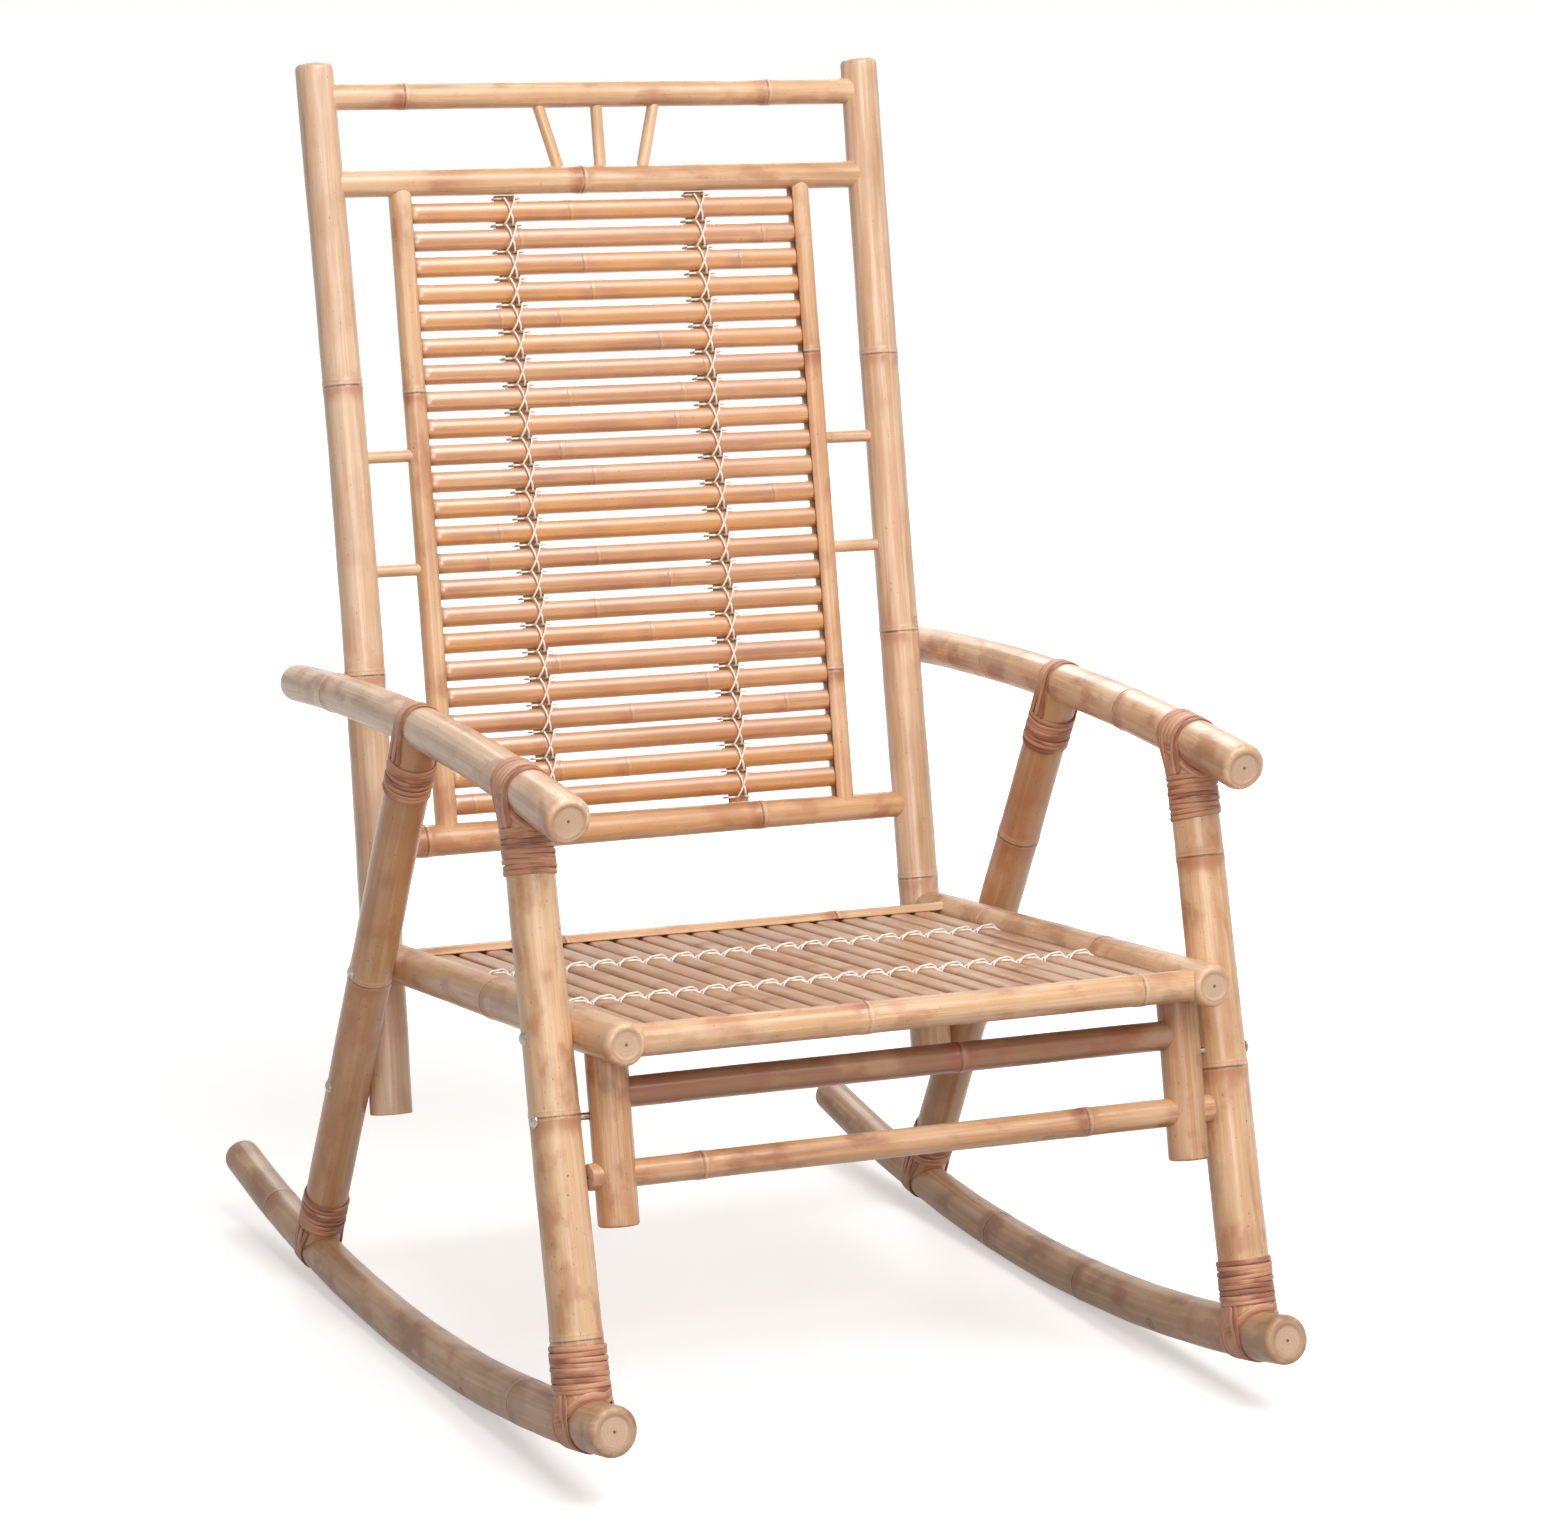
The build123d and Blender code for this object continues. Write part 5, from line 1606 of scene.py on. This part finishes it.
@dataclass
class Back:
    """The back: posts, rails, stiles, spacers, fan sticks, slats and lacing. Pairs are left and right."""

    post_x: float = 0.27086
    post_radii: tuple[float, float] = (0.0191, 0.0171)
    post_length: float = 0.9377
    post_rims: tuple[float, float] = (0.0012, 0.0055)
    post_rings: tuple[tuple[float, ...], ...] = ((0.130, 0.390, 0.649), (0.169, 0.400, 0.660))
    post_scars: tuple[tuple[Point, ...], ...] = ((), ((0.408, -0.9, 0.0048),))
    post_bends: tuple[Point, Point] = ((0.006, 0.0, 0.0), (-0.0015, 0.0, 0.0))
    post_tones: tuple[float, float] = (0.12, 0.45)
    stile_x: float = 0.198
    stile_radius: float = 0.0102
    stile_feet: tuple[float, float] = (0.24564, 0.24371)
    stile_head: float = 0.8253
    stile_ridge: float = 0.0006
    stile_rings: tuple[tuple[float, ...], ...] = ((0.3945,), (0.4205, 0.1245))
    stile_grooves: tuple[Groove, Groove] = (Groove(0.0, 0.00455, 0.0053, -0.00075),
                                            Groove(math.pi, 0.00455, 0.0053, 0.00075))
    stile_tones: tuple[float, float] = (0.5, 0.8)
    spacer_x: float = 0.2032
    spacer_radius: float = 0.0058
    spacers: tuple[tuple[str, float, float], ...] = (("upper", 0.585, 0.25801), ("lower", 0.483, 0.25779))
    stick_radius: float = 0.0054
    sticks: tuple[tuple[str, float, float, float, float], ...] = (
        ("left", -0.04074, -0.05836, 0.83638, 0.90186), ("middle", 0.0, 0.0, 0.8367, 0.9017),
        ("right", 0.04074, 0.05836, 0.83638, 0.90186))
    rails: tuple[Crosspiece, ...] = (
        Crosspiece("upper_rail", "top_rail", Finish.RAIL, 0.2677, 0.35049, 1.05705, (0.0123, 0.0123),
                   (-0.190, 0.170), 0.33),
        Crosspiece("rail_at_shoulders", "shoulder_rail", Finish.RAIL, 0.26753, 0.33307, 0.98102,
                   (0.0127, 0.0127), (-0.022,), 0.6),
        Crosspiece("lower_rail", "lower_back_rail", Finish.RAIL, 0.26628, 0.20114, 0.40545,
                   (0.0146, 0.0120), (-0.222, 0.110), 0.9))
    slat_count: int = 23
    slat_pitch: float = 0.0242
    slat_first: float = 0.2697
    slat_width: float = 0.0195
    slat_thickness: float = 0.0085
    slat_crest: float = 0.005
    slat_under: float = -0.0035
    slat_held: float = 0.005
    lacing_x: float = 0.0945

    def post(self, side: Side) -> Culm:
        """A back post."""
        x = side.value * self.post_x
        return Culm(f"{side.word}_back_post", f"back_post_{side.word}", Finish.POST, on_posts(x, 0.0),
                    on_posts(x, self.post_length), self.post_radii, side.of(self.post_rings), self.post_rims,
                    side.of(self.post_scars), side.of(self.post_bends), tone=side.of(self.post_tones))

    def stile(self, side: Side) -> Culm:
        """A stile with the groove for the slats."""
        x = side.value * self.stile_x
        return Culm(f"{side.word}_stile", f"stile_{side.word}", Finish.RAIL,
                    on_posts(x, side.of(self.stile_feet)), on_posts(x, self.stile_head),
                    (self.stile_radius, self.stile_radius), side.of(self.stile_rings),
                    groove=side.of(self.stile_grooves), ridge=self.stile_ridge,
                    tone=side.of(self.stile_tones))

    def spacer(self, side: Side, word: str, along: float, outer: float) -> Culm:
        """A spacer from a stile to its post, at a height along the posts."""
        return Culm(f"{side.word}_{word}_spacer", f"{word}_spacer_{side.word}", Finish.RAIL,
                    on_posts(side.value * self.spacer_x, along), on_posts(side.value * outer, along),
                    (self.spacer_radius, self.spacer_radius), reference=(0.0, 1.0, 0.0),
                    tone=0.1 + 0.1 * along)

    def stick(self, word: str, bottom: float, top: float, low: float, high: float) -> Culm:
        """A fan stick, from a place at the shoulder rail to a place at the top rail."""
        return Culm(f"{word}_fan_stick", f"fan_stick_{word}", Finish.RAIL, on_posts(bottom, low),
                    on_posts(top, high), (self.stick_radius, self.stick_radius), tone=0.3 + bottom)

    def build(self, shop: Workshop) -> None:
        """Makes the pieces."""
        for side in Side:
            spacers = [self.spacer(side, *sizes) for sizes in self.spacers]
            build_all(shop, [self.post(side), self.stile(side), *spacers])
        build_all(shop, [self.stick(*sizes) for sizes in self.sticks])
        build_all(shop, [rail.culm() for rail in self.rails])
        length = 2 * (self.stile_x - self.stile_radius + self.slat_held)
        SlatPanel("slats_of_back", "back_slats", Finish.BACK_SLAT, self.slat_count,
                  on_posts(0.0, self.slat_first, self.slat_under), tuple(POST_ALONG * self.slat_pitch),
                  tuple(RIGHTWARD), tuple(POST_FORWARD), length, self.slat_width, self.slat_thickness,
                  seed=7).build(shop)
        for side in Side:
            Lacing(f"lacing_of_back_{side.word}", f"back_lacing_{side.word}",
                   np.array(on_posts(side.value * self.lacing_x, 0.0)), POST_ALONG, RIGHTWARD, POST_FORWARD,
                   self.slat_crest, self.slat_under, self.slat_first - self.slat_pitch / 2, self.slat_pitch,
                   self.slat_count).build(shop)
            shop.carry_over(f"back_batten_{side.word}", Finish.BATTEN)


@dataclass
class Seat:
    """The seat: rails, slats, battens and lacing, and the posts and stretchers below it."""

    rail_front: Point = (0.26982, -0.36037, 0.3624)
    rail_rear: Point = (0.27375, 0.1735, 0.31088)
    rail_radii: tuple[float, float] = (0.0183, 0.01642)
    rail_rims: tuple[float, float] = (0.0055, 0.002)
    rail_rings: tuple[tuple[float, ...], ...] = ((0.262,), (0.190, 0.400))
    rail_tones: tuple[float, float] = (0.06, 0.12)
    short_post_foot: Point = (0.26419, -0.33887, 0.206)
    short_post_head: Point = (0.26419, -0.30287, 0.35685)
    short_post_radii: tuple[float, float] = (0.0172, 0.0177)
    short_post_rims: tuple[float, float] = (0.0028, 0.0015)
    short_post_saddle: Saddle = Saddle(0.01825, (0.0, 0.99534, -0.0961))
    short_post_aside: float = -0.0056
    short_post_tones: tuple[float, float] = (0.4, 0.6)
    rail_slat_backs: tuple[float, float] = (-0.368, 0.096)
    crosspieces: tuple[Crosspiece, ...] = (
        Crosspiece("front_seat_rail", "seat_front_rail", Finish.RAIL, 0.2637, -0.34387, 0.36081,
                   (0.0132, 0.0132), (-0.052, 0.205), 0.55, Groove(0.0, 0.0043, 0.0063, 0.0025),
                   tuple(SEAT_ALONG)),
        Crosspiece("rear_seat_rail", "seat_rear_rail", Finish.RAIL, 0.26875, 0.12013, 0.31603,
                   (0.0125, 0.0125), (-0.120, 0.150), 0.25, Groove(math.pi, 0.0043, 0.0063, -0.0025),
                   tuple(SEAT_ALONG)),
        # The high tone darkens this stretcher: partly its own colour, partly painted shade under the seat
        Crosspiece("stretcher_above", "upper_stretcher", Finish.STRETCHER, 0.25849, -0.31405, 0.31,
                   (0.0125, 0.0125), (0.050,), 0.85),
        Crosspiece("stretcher_below", "lower_stretcher", Finish.STRETCHER, 0.28799, -0.32921, 0.2465,
                   (0.0112, 0.0123), (-0.190, 0.165), 0.35, rims=(0.0012, 0.0012)))
    slat_count: int = 20
    slat_pitch: float = 0.025
    slat_width: float = 0.0224
    slat_thickness: float = 0.008
    slat_crest: float = 0.0065
    slat_under: float = -0.0015
    slat_held: float = 0.006
    lacing_backs: tuple[tuple[str, float], ...] = (("front", -0.210), ("rear", -0.038))

    def side_rail(self, side: Side) -> Culm:
        """A side rail."""
        return Culm(f"{side.word}_seat_rail", f"seat_side_rail_{side.word}", Finish.LEG,
                    mirrored(self.rail_front, side), mirrored(self.rail_rear, side), self.rail_radii,
                    side.of(self.rail_rings), self.rail_rims, tone=side.of(self.rail_tones))

    def short_post(self, side: Side) -> Culm:
        """A short post, seated under its side rail."""
        saddle = replace(self.short_post_saddle, aside=side.value * self.short_post_aside)
        return Culm(f"{side.word}_short_post", f"short_post_{side.word}", Finish.STRETCHER,
                    mirrored(self.short_post_foot, side), mirrored(self.short_post_head, side),
                    self.short_post_radii, (), self.short_post_rims, saddles=(None, saddle),
                    tone=side.of(self.short_post_tones))

    def build(self, shop: Workshop) -> None:
        """Makes the pieces."""
        for side in Side:
            build_all(shop, [self.side_rail(side), self.short_post(side)])
        build_all(shop, [piece.culm() for piece in self.crosspieces])
        front_radius, rear_radius = (rail.radii[0] for rail in self.crosspieces[:2])
        first_x = -(self.slat_count - 1) * self.slat_pitch / 2
        front_back, rear_back = self.rail_slat_backs
        front = np.array(seat_place(first_x, front_back)) + SEAT_ALONG * (front_radius - self.slat_held)
        rear = np.array(seat_place(first_x, rear_back)) - SEAT_ALONG * (rear_radius - self.slat_held)
        middle = (front + rear) / 2 + SEAT_RAISED * self.slat_under
        SlatPanel("slats_of_seat", "seat_slats", Finish.SEAT_SLAT, self.slat_count, tuple(middle),
                  tuple(RIGHTWARD * self.slat_pitch), tuple(SEAT_ALONG), tuple(SEAT_RAISED),
                  float(np.linalg.norm(rear - front)), self.slat_width, self.slat_thickness, seed=11,
                  uneven=0.0005, squareness=0.4, shade_reach=0.85, narrower=0.1).build(shop)
        for word, back in self.lacing_backs:
            Lacing(f"lacing_of_seat_{word}", f"seat_lacing_{word}", np.array(seat_place(0.0, back)),
                   RIGHTWARD, SEAT_ALONG, SEAT_RAISED, self.slat_crest, self.slat_under,
                   -self.slat_count * self.slat_pitch / 2, self.slat_pitch, self.slat_count).build(shop)
            shop.carry_over(f"seat_batten_{word}", Finish.BATTEN)


# Studio
@dataclass(frozen=True)
class Lamp:
    """A soft rectangular lamp: its place, the point that it faces, its width and height, and its watts."""

    name: str
    place: Point
    aim: Point
    size: tuple[float, float]
    power: float

    def build(self) -> None:
        """Hangs the lamp, turned so that its own Z points away from its aim."""
        data = bpy.data.lights.new(self.name, "AREA")
        data.shape = "RECTANGLE"
        data.size, data.size_y = self.size
        data.energy = self.power
        lamp = bpy.data.objects.new(self.name, data)
        bpy.context.scene.collection.objects.link(lamp)
        back = unit(np.array(self.place) - np.array(self.aim))
        right = unit(np.cross(UPWARD, back))
        lamp.matrix_world = turned_to(self.place, right, np.cross(back, right), back)


def turned_to(place: Point, right: Array, up: Array, back: Array) -> Matrix:
    """The matrix of an object at a place, with its own X, Y and Z along three directions."""
    turned = np.eye(4)
    turned[:3, :3] = np.stack([right, up, back], axis=1)
    turned[:3, 3] = place
    return Matrix(turned.tolist())


@dataclass
class Studio:
    """The camera of the photograph, a pale floor and backdrop, and plain soft light."""

    place: Point = (-1.8391, -3.8674, 1.3898)
    azimuth: float = -25.80
    elevation: float = 11.67
    roll: float = 1.321
    lens: float = 115.97
    sensor: float = 36.0
    view_reach: float = 60.0
    floor_half: float = 6.0
    floor_colour: Colour = (0.93, 0.93, 0.93, 1.0)
    bounce_colour: Colour = (0.28, 0.21, 0.16, 1.0)
    floor_near: float = 0.7
    floor_far: float = 2.6
    floor_glow: float = 0.45
    sky_colour: Colour = (1.0, 0.86, 0.74, 1.0)
    sky_level: float = 0.22
    lamps: tuple[Lamp, ...] = (
        Lamp("overhead", (0.2, -2.2, 3.2), (0.0, 0.0, 0.5), (2.6, 2.0), 104.0),
        Lamp("above", (0.0, 0.1, 3.3), (0.0, 0.1, 0.6), (2.6, 1.6), 34.0),
        Lamp("in_front", (-1.5, -4.2, 1.7), (0.0, 0.0, 0.7), (1.6, 1.6), 48.0),
        Lamp("behind", (0.9, 3.2, 3.0), (0.0, 0.0, 0.6), (2.2, 1.6), 56.0))

    def camera(self) -> None:
        """The camera: its three directions come from azimuth, elevation and roll."""
        turn, lift, roll = (math.radians(angle) for angle in (self.azimuth, self.elevation, self.roll))
        back = np.array([math.sin(turn) * math.cos(lift), -math.cos(turn) * math.cos(lift), math.sin(lift)])
        level = np.array([math.cos(turn), math.sin(turn), 0.0])
        right = level * math.cos(roll) + np.cross(back, level) * math.sin(roll)
        data = bpy.data.cameras.new("photo_camera")
        data.lens = self.lens
        data.sensor_fit = "HORIZONTAL"
        data.sensor_width = self.sensor
        data.clip_end = self.view_reach
        camera = bpy.data.objects.new("photo_camera", data)
        bpy.context.scene.collection.objects.link(camera)
        camera.matrix_world = turned_to(self.place, right, np.cross(back, right), back)
        bpy.context.scene.camera = camera

    def floor(self) -> None:
        """The floor: a pale sheet that shows white to the camera and keeps the chair's shadow."""
        half = self.floor_half
        mesh = bpy.data.meshes.new("floor")
        mesh.from_pydata([(-half, -half, 0), (half, -half, 0), (half, half, 0), (-half, half, 0)], [],
                         [(0, 1, 2, 3)])
        floor = bpy.data.objects.new("floor", mesh)
        bpy.context.scene.collection.objects.link(floor)
        tree = Tree(bpy.data.materials.new("pale_floor"))
        seen = self.seen(tree)
        apart = tree.vector("LENGTH", tree.node("ShaderNodeTexCoord", {}, {}, "Object"), output="Value")
        shine = seen * (apart.rise(self.floor_near, self.floor_far) * self.floor_glow + self.floor_glow)
        colour = tree.mix(seen, self.bounce_colour, self.floor_colour)
        matt = tree.node("ShaderNodeBsdfDiffuse", {}, {"Color": colour})
        glow = tree.node("ShaderNodeEmission", {}, {"Color": WHITE, "Strength": shine})
        mesh.materials.append(tree.finish(tree.node("ShaderNodeAddShader", {}, {0: matt, 1: glow})))
        floor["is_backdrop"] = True

    @staticmethod
    def seen(tree: Tree) -> Socket:
        """1 for rays from the camera, off gloss and through glass, and 0 for the rest."""
        path = tree.node("ShaderNodeLightPath", {}, {}, "Is Camera Ray")
        shown = path.maths("MAXIMUM", path, path.sibling("Is Glossy Ray"))
        return path.maths("MAXIMUM", shown, path.sibling("Is Transmission Ray"))

    def backdrop(self) -> None:
        """The world: white where it is seen, and a plain level where it lights."""
        world = bpy.data.worlds.new("studio")
        bpy.context.scene.world = world
        tree = Tree(world)
        seen = self.seen(tree)
        level = seen * (1.0 - self.sky_level) + self.sky_level
        hue = tree.mix(seen, self.sky_colour, WHITE)
        sky = tree.node("ShaderNodeBackground", {}, {"Color": hue, "Strength": level})
        tree.finish(sky, "ShaderNodeOutputWorld")

    def build(self) -> None:
        """Sets up the whole studio."""
        self.camera()
        self.floor()
        self.backdrop()
        for lamp in self.lamps:
            lamp.build()
        bpy.context.scene.view_settings.view_transform = "Standard"


def main(frame: dict, box: tuple) -> None:
    """Builds the studio and the chair in order.

    Args:
        frame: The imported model.
        box: Its lowest and highest corners.
    """
    logging.basicConfig(level=logging.INFO, format="%(message)s")
    Studio().build()
    shop = Workshop(frame, box)
    lashings = Lashings()
    for side in Side:
        lashings.wind(shop, SideFrame(side).build(shop))
    lashings.build(shop)
    Back().build(shop)
    Seat().build(shop)
    shop.carry_over("bolts", Finish.STEEL)
    shop.carry_over("threaded_inserts", Finish.BRASS)


if __name__ == "__main__":
    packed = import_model()
    packed_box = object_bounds()
    main(packed, packed_box)
